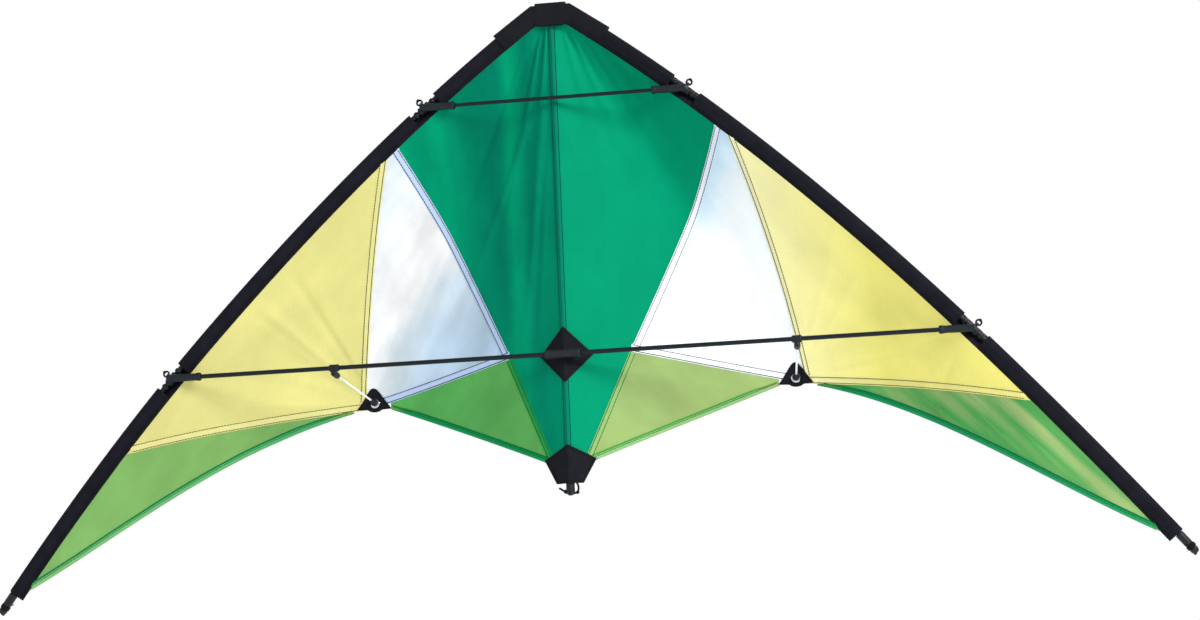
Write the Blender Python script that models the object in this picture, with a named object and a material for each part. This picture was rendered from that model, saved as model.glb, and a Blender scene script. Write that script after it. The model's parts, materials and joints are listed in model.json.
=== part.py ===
"""Two-line delta kite, standing upright with its front (the flyer's side) facing -Y.

Metres, +Z towards the nose, +X to the viewer's right. The origin is the middle of the flat
front face of the centre tee, where the lower spreaders meet the spine.
"""
import math

import bmesh
import bpy
import numpy as np
from mathutils import Matrix, Vector

# ---------------------------------------------------------------- driving dimensions
NOSE_Z = 0.387              # flat top of the nose above the tee
SPREADER_Y = 0.0065         # axis of both spreaders, behind the front face of the tee
WING_Y = 0.0125             # plane of the leading edges near the nose
SAIL_SPINE_Y = 0.0145       # the sail where it lies on the spine
SPINE_Y = 0.0205            # axis of the spine, behind the sail

EDGE_START = Vector((0.0206, 0.0, -0.0081))     # upper end of a leading edge, from the nose
EDGE_LENGTH = 0.905
EDGE_DROOP = (34.96, 28.18, -13.12)         # degrees below level, and how that grows with length
SWEEP_FROM = 0.5                            # the tips bow back from here on
SWEEP_RATE = 0.245

ROD_RADIUS = 0.0025         # spine, leading edges and lower spreaders
THIN_ROD_RADIUS = 0.002     # upper spreader
STANDOFF_RADIUS = 0.0011
CORD_RADIUS = 0.0007
CLEARANCE = 0.0003
LOOSE = 0.0005              # clearance where a bowed rod runs through a straight-sided part
SOFT = 0.0006               # softened rims of the mouldings
THROUGH = 0.020             # half the length of a bore that runs right through a part
ROUND = 10                  # sides of a rod
MOULDED_ROUND = 12          # sides of a fitting
FINE_ROUND = 16

SLEEVE_TOP = 0.052          # lengths along the leading edge, from its upper end
UPPER_JOINT_AT = 0.158
SLEEVE_END = 0.875
NOCK_START = 0.8775
JOINT_WINDOW = 0.018        # half the length of bare rod at a connector
SLEEVE_INNER = 0.0126       # from the rod's axis to the edge sewn to the sail
SLEEVE_OUTER = 0.0062       # and to the fold on the other side
SLEEVE_ROUND = 0.0046       # its round part over the rod
SLEEVE_DEPTH = 0.0040       # half its depth

EYELET = Vector((0.2405, 0.0, -0.4175))     # from the nose
EYELET_RADIUS = 0.0066
STANDOFF_X = 0.258          # where the standoff leaves the lower spreader
BELLY_DEPTH = 0.100         # how far the standoffs push the trailing edge back
BELLY_SHARE = 0.6           # the belly's ridge, as a share of the angle from spine to edge
BELLY_AT = 0.483            # its distance from the nose
BELLY_BLUNT = 0.05          # how blunt the ridge is, as a share of the same angle

SAIL_THICKNESS = 0.0004
PATCH_THICKNESS = 0.0006
PATCH_FORWARD = 0.0014      # middle of a patch in front of the middle of the sail
SEAM_GAP = 0.0003           # each panel stops this far short of its seam line
SLEEVE_GAP = 0.0007         # and this far short of the sleeve
TEE_NOTCH = 0.0046          # radius of the hole in the sail round the tee


# ---------------------------------------------------------------- shapes of the frame and sail
def edge_table():
    """Distance along the leading edge, and x, y, z of its axis, for the wing at +X."""
    s = np.linspace(0.0, EDGE_LENGTH, 363)
    angle = np.radians(EDGE_DROOP[0] + EDGE_DROOP[1] * s + EDGE_DROOP[2] * s * s)
    step = s[1] - s[0]
    across = (np.cos(angle[1:]) + np.cos(angle[:-1])) / 2 * step
    down = (np.sin(angle[1:]) + np.sin(angle[:-1])) / 2 * step
    x = EDGE_START.x + np.concatenate(([0.0], np.cumsum(across)))
    z = NOSE_Z + EDGE_START.z - np.concatenate(([0.0], np.cumsum(down)))
    y = WING_Y + SWEEP_RATE * np.clip(s - SWEEP_FROM, 0.0, None) ** 2
    return s, x, y, z


EDGE_S, EDGE_X, EDGE_Y, EDGE_Z = edge_table()
LOWER_JOINT_AT = float(np.interp(0.0, -EDGE_Z, EDGE_S))     # level with the centre tee


def edge_point(s):
    return Vector((
        float(np.interp(s, EDGE_S, EDGE_X)),
        float(np.interp(s, EDGE_S, EDGE_Y)),
        float(np.interp(s, EDGE_S, EDGE_Z)),
    ))


def edge_axes(s):
    """Unit vectors along the edge, inwards across it, and forwards out of the sail."""
    half = 0.004
    low = max(0.0, s - half)
    high = min(EDGE_LENGTH, s + half)
    along = (edge_point(high) - edge_point(low)).normalized()
    inward = along.cross(Vector((0, 1, 0))).normalized()
    if inward.z > 0:
        inward.negate()
    return along, inward, inward.cross(along).normalized()


def inner_edge(s, beyond=0.0):
    """The line where the sleeve is sewn to the sail, as (x, z)."""
    point = edge_point(s) + edge_axes(s)[1] * (SLEEVE_INNER + beyond)
    return point.x, point.z


def inner_edge_table():
    points = [inner_edge(s) for s in EDGE_S[::6]]
    radius = np.array([math.hypot(x, z - NOSE_Z) for x, z in points])
    angle = np.array([math.atan2(x, NOSE_Z - z) for x, z in points])
    return radius, angle


INNER_R, INNER_ANGLE = inner_edge_table()


def belly(share):
    """Depth of the sail, 0 to 1, at a share of the angle from the spine to the edge."""
    width = BELLY_SHARE if share < BELLY_SHARE else 1 - BELLY_SHARE
    off = abs(share - BELLY_SHARE)
    smooth = math.cos(math.pi / 2 * min(1.0, off / width))
    fall = math.hypot(off, BELLY_BLUNT) - BELLY_BLUNT
    straight = 1 - fall / (math.hypot(width, BELLY_BLUNT) - BELLY_BLUNT)
    return (smooth + straight) / 2


def sail_y(x, z):
    """The sail's mid surface: a cone from the nose, pushed back most at the standoffs."""
    across = abs(x)
    radius = math.hypot(across, z - NOSE_Z)
    angle = math.atan2(across, NOSE_Z - z)
    share = min(1.0, angle / float(np.interp(radius, INNER_R, INNER_ANGLE)))
    reach = min(1.0, radius / BELLY_AT)
    edge_y = float(np.interp(radius, np.hypot(EDGE_X, EDGE_Z - NOSE_Z), EDGE_Y))
    spine_side = (SAIL_SPINE_Y - WING_Y) * (1 - share) ** 2
    edge_side = (edge_y - WING_Y) * share ** 2
    return WING_Y + edge_side + spine_side + BELLY_DEPTH * reach * belly(share)


# ---------------------------------------------------------------- seam lines, wing at +X
def mix(a, b, t):
    return a[0] + (b[0] - a[0]) * t, a[1] + (b[1] - a[1]) * t


def bowed(a, b, t, bow):
    """A line from a to b that bows to its left by the stated distance half way."""
    x, z = mix(a, b, t)
    length = math.hypot(b[0] - a[0], b[1] - a[1])
    rise = 4 * bow * t * (1 - t) / length
    return x - (b[1] - a[1]) * rise, z + (b[0] - a[0]) * rise


def from_nose(x, z):
    return x, NOSE_Z + z


CENTRE_SEAM_AT = 0.210      # where the seams reach the leading edge, by length along it
YELLOW_SEAM_AT = 0.2275
TIP_SEAM_AT = 0.670
TIP_PANEL_END = 0.868
YELLOW_SEAM_BOW = 0.006
TIP_SEAM_BOW = 0.004
OUTER_TRAIL_BOW = 0.0125    # deepest a third of the way from the belly to the tip
OUTER_TRAIL_SKEW = 27 / 16
INNER_TRAIL_BOW = -0.0012   # slightly hollow
INNER_KNEE = from_nose(0.0675, -0.3840)
TAIL_CORNER = from_nose(0.0150, -0.5085)
TAIL_END = from_nose(0.0125, -0.5240)
BELLY_CORNER = from_nose(0.2515, -0.4250)
INNER_TRAIL = from_nose(0.2215, -0.4255)
OUTER_TRAIL = from_nose(0.2640, -0.4300)


def centre_seam(t):
    return mix(inner_edge(CENTRE_SEAM_AT, SLEEVE_GAP), INNER_KNEE, t)


def yellow_seam(t):
    return bowed(inner_edge(YELLOW_SEAM_AT, SLEEVE_GAP), BELLY_CORNER, t, YELLOW_SEAM_BOW)


def knee_seam(t):
    return mix(INNER_KNEE, BELLY_CORNER, t)


def tip_seam(t):
    return bowed(BELLY_CORNER, inner_edge(TIP_SEAM_AT, SLEEVE_GAP), t, TIP_SEAM_BOW)


def between(first, last, t):
    """A point on the sleeve's sewn edge, a share t of the way between two lengths along it."""
    return inner_edge(first + (last - first) * t, SLEEVE_GAP)


def shifted(line, dx, dz):
    def moved(t):
        x, z = line(t)
        return x + dx, z + dz
    return moved


def joining(a, b):
    """The straight line from a to b."""
    return lambda t: mix(a, b, t)


def coons(top, bottom, start, end):
    """Surface between four edge lines: top and bottom run from start to end."""
    def at(u, v):
        corners = (
            (1 - u) * (1 - v) * np.array(top(0)) + u * (1 - v) * np.array(top(1))
            + (1 - u) * v * np.array(bottom(0)) + u * v * np.array(bottom(1))
        )
        ruled = (1 - v) * np.array(top(u)) + v * np.array(bottom(u))
        across = (1 - u) * np.array(start(v)) + u * np.array(end(v))
        x, z = ruled + across - corners
        return float(x), float(z)
    return at


# ---------------------------------------------------------------- mesh helpers
def clear_scene():
    for obj in list(bpy.data.objects):
        bpy.data.objects.remove(obj, do_unlink=True)


def make_material(name, colour, roughness, metallic=0.0):
    material = bpy.data.materials.new(name)
    material.use_nodes = True
    shader = material.node_tree.nodes["Principled BSDF"]
    shader.inputs["Base Color"].default_value = (*colour, 1.0)
    shader.inputs["Roughness"].default_value = roughness
    shader.inputs["Metallic"].default_value = metallic
    return material


def add_object(name, bm, look, origin=(0, 0, 0), sharp=40):
    """Turn a bmesh in world coordinates into an object whose origin is at the given point."""
    bmesh.ops.recalc_face_normals(bm, faces=bm.faces)
    bmesh.ops.translate(bm, verts=bm.verts, vec=-Vector(origin))
    mesh = bpy.data.meshes.new(name)
    bm.to_mesh(mesh)
    bm.free()
    obj = bpy.data.objects.new(name, mesh)
    bpy.context.scene.collection.objects.link(obj)
    obj.location = origin
    mesh.materials.append(make_material(name, *look))
    mesh.shade_smooth()
    mesh.set_sharp_from_angle(angle=math.radians(sharp))
    return obj


def mirrored(point, side):
    return Vector((point[0] * side, point[1], point[2]))


def circle(radius, count=ROUND):
    return [
        (radius * math.cos(2 * math.pi * k / count), radius * math.sin(2 * math.pi * k / count))
        for k in range(count)
    ]


def join_rings(bm, first, second):
    count = len(first)
    for k in range(count):
        n = (k + 1) % count
        bm.faces.new((first[k], first[n], second[n], second[k]))


def loft(stations, outer, inner=None):
    """A solid through stations of (centre, axis a, axis b), with an optional bore along it."""
    bm = bmesh.new()

    def ring(station, outline):
        centre, a, b = station
        return [bm.verts.new(centre + a * p + b * q) for p, q in outline]

    outsides = [ring(station, outline) for station, outline in zip(stations, outer)]
    for first, second in zip(outsides, outsides[1:]):
        join_rings(bm, first, second)
    if inner is None:
        bm.faces.new(outsides[0])
        bm.faces.new(outsides[-1])
        return bm
    insides = [ring(station, outline) for station, outline in zip(stations, inner)]
    for first, second in zip(insides, insides[1:]):
        join_rings(bm, first, second)
    join_rings(bm, outsides[0], insides[0])
    join_rings(bm, outsides[-1], insides[-1])
    return bm


def edge_stations(start, end, side, spacing=0.048):
    count = max(2, round((end - start) / spacing) + 1)
    stations = []
    for s in np.linspace(start, end, count):
        inward, forward = edge_axes(s)[1:]
        stations.append((mirrored(edge_point(s), side), mirrored(inward, side), mirrored(forward, side)))
    return stations


def turned(profile, origin, direction, count=ROUND, ring=False):
    """Turn (distance along the axis, radius) points about an axis; a ring's profile closes."""
    direction = Vector(direction).normalized()
    helper = Vector((0, 0, 1)) if abs(direction.z) < 0.9 else Vector((0, 1, 0))
    a = direction.cross(helper).normalized()
    b = direction.cross(a)
    origin = Vector(origin)
    bm = bmesh.new()
    rings = []
    for distance, radius in profile:
        centre = origin + direction * distance
        if radius == 0:
            rings.append([bm.verts.new(centre)])
        else:
            rings.append([bm.verts.new(centre + a * p + b * q) for p, q in circle(radius, count)])
    pairs = list(zip(rings, rings[1:]))
    if ring:
        pairs.append((rings[-1], rings[0]))
    for first, second in pairs:
        if len(first) == 1 or len(second) == 1:
            tip, rim = (first[0], second) if len(first) == 1 else (second[0], first)
            for k in range(count):
                bm.faces.new((rim[k], rim[(k + 1) % count], tip))
        else:
            join_rings(bm, first, second)
    return bm


def bar(start, end, radius, soft=0.0):
    """Profile of a cylinder from start to end along its axis, its rims softened."""
    if soft == 0:
        return [(start, 0), (start, radius), (end, radius), (end, 0)]
    return [(start, 0), (start, radius - soft), (start + soft, radius), (end - soft, radius),
            (end, radius - soft), (end, 0)]


def torus(centre, axis, radius, tube, count=14, around=6):
    turns = [2 * math.pi * k / around for k in range(around)]
    profile = [(tube * math.sin(turn), radius + tube * math.cos(turn)) for turn in turns]
    return turned(profile, centre, axis, count, ring=True)


def straight_rod(start, end, radius):
    along = Vector(end) - Vector(start)
    return turned(bar(0, along.length, radius, radius / 4), start, along)


def sheet(surface, columns, rows, side, thickness=SAIL_THICKNESS, forward=0.0, crowd=1.0):
    """A thin closed solid that follows the sail over a (u, v) surface in x and z."""
    bm = bmesh.new()
    layers = []
    for offset in (-thickness / 2, thickness / 2):
        grid = []
        for i in range(columns + 1):
            line = []
            for j in range(rows + 1):
                x, z = surface((i / columns) ** crowd, j / rows)
                line.append(bm.verts.new((x * side, sail_y(x, z) - forward + offset, z)))
            grid.append(line)
        layers.append(grid)
    front, back = layers
    for grid in layers:
        for i in range(columns):
            for j in range(rows):
                bm.faces.new((grid[i][j], grid[i + 1][j], grid[i + 1][j + 1], grid[i][j + 1]))
    border = [(i, 0) for i in range(columns)] + [(columns, j) for j in range(rows)]
    border += [(i, rows) for i in range(columns, 0, -1)] + [(0, j) for j in range(rows, 0, -1)]
    for k, (i, j) in enumerate(border):
        p, q = border[(k + 1) % len(border)]
        bm.faces.new((front[i][j], front[p][q], back[p][q], back[i][j]))
    return bm


def pierced_sheet(reach, hole, centre, side, forward, thickness=PATCH_THICKNESS, count=20):
    """A patch about a round hole; reach(angle) is how far its outline is from the middle."""
    bm = bmesh.new()
    rings = []
    for offset in (-thickness / 2, thickness / 2):
        for share in (0.0, 0.5, 1.0):
            ring = []
            for k in range(count):
                angle = 2 * math.pi * k / count
                radius = hole + (reach(angle) - hole) * share
                x = centre[0] + radius * math.cos(angle)
                z = centre[1] + radius * math.sin(angle)
                ring.append(bm.verts.new((x * side, sail_y(x, z) - forward + offset, z)))
            rings.append(ring)
    front, back = rings[:3], rings[3:]
    for layer in (front, back):
        join_rings(bm, layer[0], layer[1])
        join_rings(bm, layer[1], layer[2])
    join_rings(bm, front[0], back[0])
    join_rings(bm, front[2], back[2])
    return bm


def helper_solid(name, bm):
    tool = add_object(name, bm, ((0.5, 0.5, 0.5), 0.5))
    tool.hide_render = True
    tool.display_type = "WIRE"
    return tool


def boolean(obj, operation, bm):
    tool = helper_solid(f"{obj.name}_tool_{len(obj.modifiers)}", bm)
    modifier = obj.modifiers.new(operation.title(), "BOOLEAN")
    modifier.operation = operation
    modifier.solver = "EXACT"
    modifier.object = tool


def side_name(side):
    return "right" if side > 0 else "left"


# ---------------------------------------------------------------- looks: colour, roughness, metallic
CARBON = ((0.018, 0.018, 0.020), 0.35)
BLACK_CLOTH = ((0.020, 0.018, 0.022), 0.80)
BLACK_RUBBER = ((0.022, 0.022, 0.024), 0.60)
BLACK_NYLON = ((0.025, 0.025, 0.028), 0.45)
WHITE_ROD = ((0.82, 0.82, 0.80), 0.35)
STEEL = ((0.62, 0.62, 0.64), 0.25, 1.0)
DARK_CORD = ((0.03, 0.03, 0.035), 0.85)
DARK_GREEN = ((0.002, 0.36, 0.19), 0.50)
WHITE = ((0.80, 0.85, 0.90), 0.50)
YELLOW = ((0.80, 0.74, 0.22), 0.50)
LIGHT_GREEN = ((0.22, 0.55, 0.12), 0.50)


# ---------------------------------------------------------------- the frame
SPINE_TOP = 0.006           # the spine's ends, below the nose
SPINE_BOTTOM = 0.5335
ROD_END_SHORT = 0.010       # a leading edge ends this far inside its nock


def spine_rod():
    top = Vector((0, SPINE_Y, NOSE_Z - SPINE_TOP))
    bottom = Vector((0, SPINE_Y, NOSE_Z - SPINE_BOTTOM))
    add_object("spine_rod", straight_rod(bottom, top, ROD_RADIUS), CARBON, bottom)


def edge_pivot(side):
    """The upper end of a leading edge, which the wing folds about."""
    return mirrored(edge_point(0.0), side)


def leading_edge_rod(side):
    stations = edge_stations(0.0, EDGE_LENGTH - ROD_END_SHORT, side)
    bm = loft(stations, [circle(ROD_RADIUS)] * len(stations))
    add_object(f"leading_edge_rod_{side_name(side)}", bm, CARBON, edge_pivot(side))


def sleeve_outline():
    """Round over the rod, drawn out flat towards the seam with the sail."""
    outline = []
    for p, q in circle(1.0):
        flat = (SLEEVE_INNER if p > 0 else SLEEVE_OUTER) - SLEEVE_ROUND
        outline.append((SLEEVE_ROUND * p + flat * p ** 3, SLEEVE_DEPTH * q))
    return outline


def sleeve(side, part, start, end):
    stations = edge_stations(start, end, side)
    count = len(stations)
    bm = loft(stations, [sleeve_outline()] * count, [circle(ROD_RADIUS + LOOSE)] * count)
    add_object(f"edge_sleeve_{part}_{side_name(side)}", bm, BLACK_CLOTH, edge_pivot(side))


def spreader_rods():
    upper = edge_point(UPPER_JOINT_AT)
    lower = edge_point(LOWER_JOINT_AT)
    reach = upper.x - ROD_FROM_JOINT
    start = Vector((-reach, SPREADER_Y, upper.z))
    end = Vector((reach, SPREADER_Y, upper.z))
    pivot = Vector((-upper.x, SPREADER_Y, upper.z))
    add_object("upper_spreader_rod", straight_rod(start, end, THIN_ROD_RADIUS), CARBON, pivot)
    for side in (-1, 1):
        start = Vector((side * (TEE_SOCKET_FLOOR + ROD_END_GAP), SPREADER_Y, 0))
        end = Vector((side * (lower.x - ROD_FROM_JOINT), SPREADER_Y, 0))
        pivot = Vector((side * lower.x, SPREADER_Y, 0))
        name = f"lower_spreader_rod_{side_name(side)}"
        add_object(name, straight_rod(start, end, ROD_RADIUS), CARBON, pivot)


# ---------------------------------------------------------------- centre tee
TEE_SOCKET_END = 0.020      # from the middle
TEE_SOCKET_FLOOR = 0.0068
TEE_SOCKET_RADIUS = 0.0047
TEE_BARREL_HALF = 0.010
TEE_BARREL_RADIUS = 0.0046
TEE_NECK_RADIUS = 0.0036
TEE_NECK_LENGTH = 0.018
ROD_END_GAP = 0.0007        # a rod stops this far short of the floor of its socket


def centre_tee():
    """Rubber tee: a barrel on the spine, a neck through the sail and a socket for each spreader."""
    sockets = bar(-TEE_SOCKET_END, TEE_SOCKET_END, TEE_SOCKET_RADIUS, SOFT)
    tee = add_object("centre_tee", turned(sockets, (0, SPREADER_Y, 0), (1, 0, 0), FINE_ROUND), BLACK_RUBBER)
    barrel = bar(-TEE_BARREL_HALF, TEE_BARREL_HALF, TEE_BARREL_RADIUS)
    boolean(tee, "UNION", turned(barrel, (0, SPINE_Y, 0), (0, 0, 1), FINE_ROUND))
    neck = bar(0, TEE_NECK_LENGTH, TEE_NECK_RADIUS)
    boolean(tee, "UNION", turned(neck, (0, 0, 0), (0, 1, 0), FINE_ROUND))
    bore = bar(-THROUGH, THROUGH, ROD_RADIUS + CLEARANCE)
    boolean(tee, "DIFFERENCE", turned(bore, (0, SPINE_Y, 0), (0, 0, 1)))
    for side in (-1, 1):
        hole = bar(TEE_SOCKET_FLOOR, TEE_SOCKET_FLOOR + THROUGH, ROD_RADIUS + CLEARANCE)
        boolean(tee, "DIFFERENCE", turned(hole, (0, SPREADER_Y, 0), (side, 0, 0)))


# ---------------------------------------------------------------- fittings on the leading edges
ARM_LENGTH = 0.036          # connector: tube for the spreader, from the leading edge's axis
ARM_BACK = 0.0035
ARM_RADIUS = 0.0043
ARM_FLOOR = 0.0115
ROD_FROM_JOINT = 0.0125
CONNECTOR_HALF = 0.007      # its barrel on the leading edge
CONNECTOR_RADIUS = 0.0046
LOOP_EYE = 0.0056           # from the leading edge's axis to the eye that holds a bridle loop
LOOP_RADIUS = 0.0030
LUG_HALF = 0.0012
LUG_RADIUS = 0.0023
LUG_HOLE = 0.0012
STOPPER_HALF = 0.0020
STOPPER_RADIUS = 0.0041
STOPPER_RIM = 0.0036
STOPPER_OFFSET = 0.0115     # from the middle of the connector


def edge_connector(side, part, at, rod_radius):
    """Vinyl fitting: a barrel on the leading edge, a spreader arm in front, a lug for a loop."""
    centre = mirrored(edge_point(at), side)
    along = mirrored(edge_axes(at)[0], side)
    eye = centre - mirrored(edge_axes(at)[1], side) * LOOP_EYE
    joint = Vector((centre.x, SPREADER_Y, centre.z))
    inward = Vector((-side, 0, 0))
    barrel = bar(-CONNECTOR_HALF, CONNECTOR_HALF, CONNECTOR_RADIUS, SOFT)
    name = f"{part}_connector_{side_name(side)}"
    fitting = add_object(name, turned(barrel, centre, along, MOULDED_ROUND), BLACK_RUBBER, joint)
    arm = bar(-ARM_BACK, ARM_LENGTH, ARM_RADIUS, SOFT)
    boolean(fitting, "UNION", turned(arm, joint, inward, MOULDED_ROUND))
    boolean(fitting, "UNION", turned(bar(-LUG_HALF, LUG_HALF, LUG_RADIUS), eye, along, MOULDED_ROUND))
    bore = bar(-THROUGH, THROUGH, ROD_RADIUS + LOOSE)
    boolean(fitting, "DIFFERENCE", turned(bore, centre, along))
    socket = bar(ARM_FLOOR, ARM_LENGTH + THROUGH, rod_radius + CLEARANCE)
    boolean(fitting, "DIFFERENCE", turned(socket, joint, inward))
    boolean(fitting, "DIFFERENCE", turned(bar(-THROUGH, THROUGH, LUG_HOLE), eye, along))


def bridle_loop(side, part, at):
    centre = mirrored(edge_point(at), side)
    along, inward = (mirrored(v, side) for v in edge_axes(at)[:2])
    eye = centre - inward * LOOP_EYE
    middle = eye - inward * LOOP_RADIUS
    bm = torus(middle, along.cross(inward), LOOP_RADIUS, CORD_RADIUS)
    add_object(f"{part}_bridle_loop_{side_name(side)}", bm, DARK_CORD, eye)


def stopper(side, part, at, name):
    """A clip on the leading edge that keeps a connector from sliding."""
    bore = ROD_RADIUS + CLEARANCE
    profile = [(-STOPPER_HALF, bore), (-STOPPER_HALF, STOPPER_RIM), (0.0, STOPPER_RADIUS),
               (STOPPER_HALF, STOPPER_RIM), (STOPPER_HALF, bore)]
    along = mirrored(edge_axes(at)[0], side)
    bm = turned(profile, mirrored(edge_point(at), side), along, ROUND, ring=True)
    add_object(f"{part}_stopper_{name}_{side_name(side)}", bm, BLACK_NYLON, edge_pivot(side))


NOCK_RADIUS = 0.0044
NOCK_BODY = 0.0150          # length of its full-width part
NOCK_WAIST = 0.0034         # radius of the groove for the cord
NOCK_GROOVE = (0.0165, 0.0205)
NOCK_HEAD = 0.0042
NOCK_SHOULDER = 0.0020      # length over which its end narrows
NOCK_TIP = 0.0028
NOCK_POCKET = 0.0183        # depth of its bore
NOCK_FROM_END = 0.014       # where its direction is read off the leading edge
CORD_RING = 0.0046          # radius of the cord's turn in the groove
SLOT_WIDTH = 0.0017         # slots for cord in the nocks
SLOT_LENGTH = 0.012
NOCK_SLOT_AT = 0.0042       # middle of the slot, from the nock's end


def wing_tip(side):
    """Nock over the end of the leading edge, and the cord that draws the sail's tip to it."""
    along, inward = (mirrored(v, side) for v in edge_axes(EDGE_LENGTH - NOCK_FROM_END)[:2])
    origin = mirrored(edge_point(NOCK_START), side)
    length = EDGE_LENGTH - NOCK_START
    profile = [(0, 0), (0, NOCK_RADIUS - SOFT), (SOFT, NOCK_RADIUS), (NOCK_BODY, NOCK_RADIUS),
               (NOCK_GROOVE[0], NOCK_WAIST), (NOCK_GROOVE[1], NOCK_WAIST), (NOCK_GROOVE[1] + SOFT, NOCK_HEAD),
               (length - NOCK_SHOULDER, NOCK_HEAD), (length, NOCK_TIP), (length, 0)]
    nock = add_object(f"wing_tip_nock_{side_name(side)}", turned(profile, origin, along, MOULDED_ROUND),
                      BLACK_NYLON, edge_pivot(side))
    pocket = bar(-THROUGH, NOCK_POCKET, ROD_RADIUS + LOOSE)
    boolean(nock, "DIFFERENCE", turned(pocket, origin, along, MOULDED_ROUND))
    middle = origin + along * (length - NOCK_SLOT_AT + SLOT_LENGTH / 2)
    boolean(nock, "DIFFERENCE", box_about(middle, along, inward, SLOT_LENGTH, SLOT_WIDTH, SLOT_LENGTH))
    groove = origin + along * (sum(NOCK_GROOVE) / 2)
    bm = torus(groove, along, CORD_RING, CORD_RADIUS)
    add_object(f"wing_tip_cord_{side_name(side)}", bm, DARK_CORD, edge_pivot(side))


def box_about(centre, a, b, size_a, size_b, size_c):
    """A box about a point, with its sides along a, b and their cross product."""
    c = a.cross(b).normalized()
    bm = bmesh.new()
    bmesh.ops.create_cube(bm, size=1.0)
    turn = Matrix((a.normalized() * size_a, b.normalized() * size_b, c * size_c)).transposed()
    bmesh.ops.transform(bm, matrix=Matrix.Translation(centre) @ turn.to_4x4(), verts=bm.verts)
    return bm


TAIL_CAP_TOP = 0.5258       # below the nose
TAIL_CAP_LENGTH = 0.0157
TAIL_CAP_BODY = 0.0125
TAIL_CAP_RADIUS = 0.0042
TAIL_CAP_TAPER = (0.0145, 0.0030)           # distance and radius where it narrows
TAIL_CAP_TIP = 0.0010
TAIL_CAP_POCKET = 0.0082
TAIL_SLOT_AT = 0.0145
TAIL_SLOT_DEPTH = 0.006
TAIL_LOOP = Vector((0.0087, 0, -0.0052))    # middle of the cord loop, from the cap's top
TAIL_LOOP_RADIUS = 0.0036


def tail_end():
    """Cap on the lower end of the spine, and the cord loop beside it."""
    origin = Vector((0, SPINE_Y, NOSE_Z - TAIL_CAP_TOP))
    down = Vector((0, 0, -1))
    profile = [(0, 0), (0, TAIL_CAP_RADIUS - SOFT), (SOFT, TAIL_CAP_RADIUS), (TAIL_CAP_BODY, TAIL_CAP_RADIUS),
               TAIL_CAP_TAPER, (TAIL_CAP_LENGTH, TAIL_CAP_TIP), (TAIL_CAP_LENGTH, 0)]
    cap = add_object("tail_cap", turned(profile, origin, down, MOULDED_ROUND), BLACK_NYLON)
    pocket = bar(-THROUGH, TAIL_CAP_POCKET, ROD_RADIUS + CLEARANCE)
    boolean(cap, "DIFFERENCE", turned(pocket, origin, down, MOULDED_ROUND))
    slot = box_about(origin + down * TAIL_SLOT_AT, down, Vector((0, 1, 0)), TAIL_SLOT_DEPTH, SLOT_WIDTH,
                     SLOT_LENGTH)
    boolean(cap, "DIFFERENCE", slot)
    add_object("tail_cord", torus(origin + TAIL_LOOP, (0, 1, 0), TAIL_LOOP_RADIUS, CORD_RADIUS), DARK_CORD)


# ---------------------------------------------------------------- standoffs
STANDOFF_BELOW = 0.0064     # top of the standoff's axis, from the lower spreader's axis
STANDOFF_BEHIND = 0.0015
CLIP_HALF = 0.005           # barrel of the standoff's connector
CLIP_RADIUS = 0.0037
CLIP_LOBE = (-0.0042, 0.0078)
CLIP_LOBE_RADIUS = 0.0034
CLIP_FLOOR = 0.0005
STANDOFF_FIRST = 0.0010     # the rod's ends, from the standoff's top and short of the eyelet
STANDOFF_LAST = 0.0068
COLLAR_MOUTH = 0.0125       # the rubber end, measured back from the eyelet
COLLAR_RADIUS = 0.0020
COLLAR_FLOOR = 0.0060
FLANGE = (-0.0040, -0.0022, 0.0040)         # from, to, radius
NUB_RADIUS = 0.0019
NUB_HEAD = 0.0023
NUB_NECK = 0.0020           # where it swells behind the eyelet, and is widest
NUB_SHOULDER = 0.0024
NUB_LENGTH = 0.0036


def eyelet_centre(side):
    x, z = EYELET.x, NOSE_Z + EYELET.z
    return Vector((x * side, sail_y(x, z), z))


def standoff_line(side):
    start = Vector((STANDOFF_X * side, SPREADER_Y + STANDOFF_BEHIND, -STANDOFF_BELOW))
    end = eyelet_centre(side)
    return start, (end - start).normalized(), (end - start).length


def standoff_connector(side):
    """Rubber fitting on the lower spreader: a barrel with a socket below for the standoff."""
    start, along = standoff_line(side)[:2]
    centre = Vector((STANDOFF_X * side, SPREADER_Y, 0))
    barrel = turned(bar(-CLIP_HALF, CLIP_HALF, CLIP_RADIUS), centre, (1, 0, 0), MOULDED_ROUND)
    clip = add_object(f"standoff_connector_{side_name(side)}", barrel, BLACK_RUBBER, centre)
    lobe = bar(CLIP_LOBE[0], CLIP_LOBE[1], CLIP_LOBE_RADIUS, SOFT)
    boolean(clip, "UNION", turned(lobe, start, along, MOULDED_ROUND))
    bore = bar(-THROUGH, THROUGH, ROD_RADIUS + CLEARANCE)
    boolean(clip, "DIFFERENCE", turned(bore, centre, (1, 0, 0)))
    socket = bar(CLIP_FLOOR, THROUGH, STANDOFF_RADIUS + CLEARANCE)
    boolean(clip, "DIFFERENCE", turned(socket, start, along))


def standoff_rod(side):
    start, along, length = standoff_line(side)
    first = start + along * STANDOFF_FIRST
    last = start + along * (length - STANDOFF_LAST)
    add_object(f"standoff_rod_{side_name(side)}", straight_rod(first, last, STANDOFF_RADIUS), WHITE_ROD, last)


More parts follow.
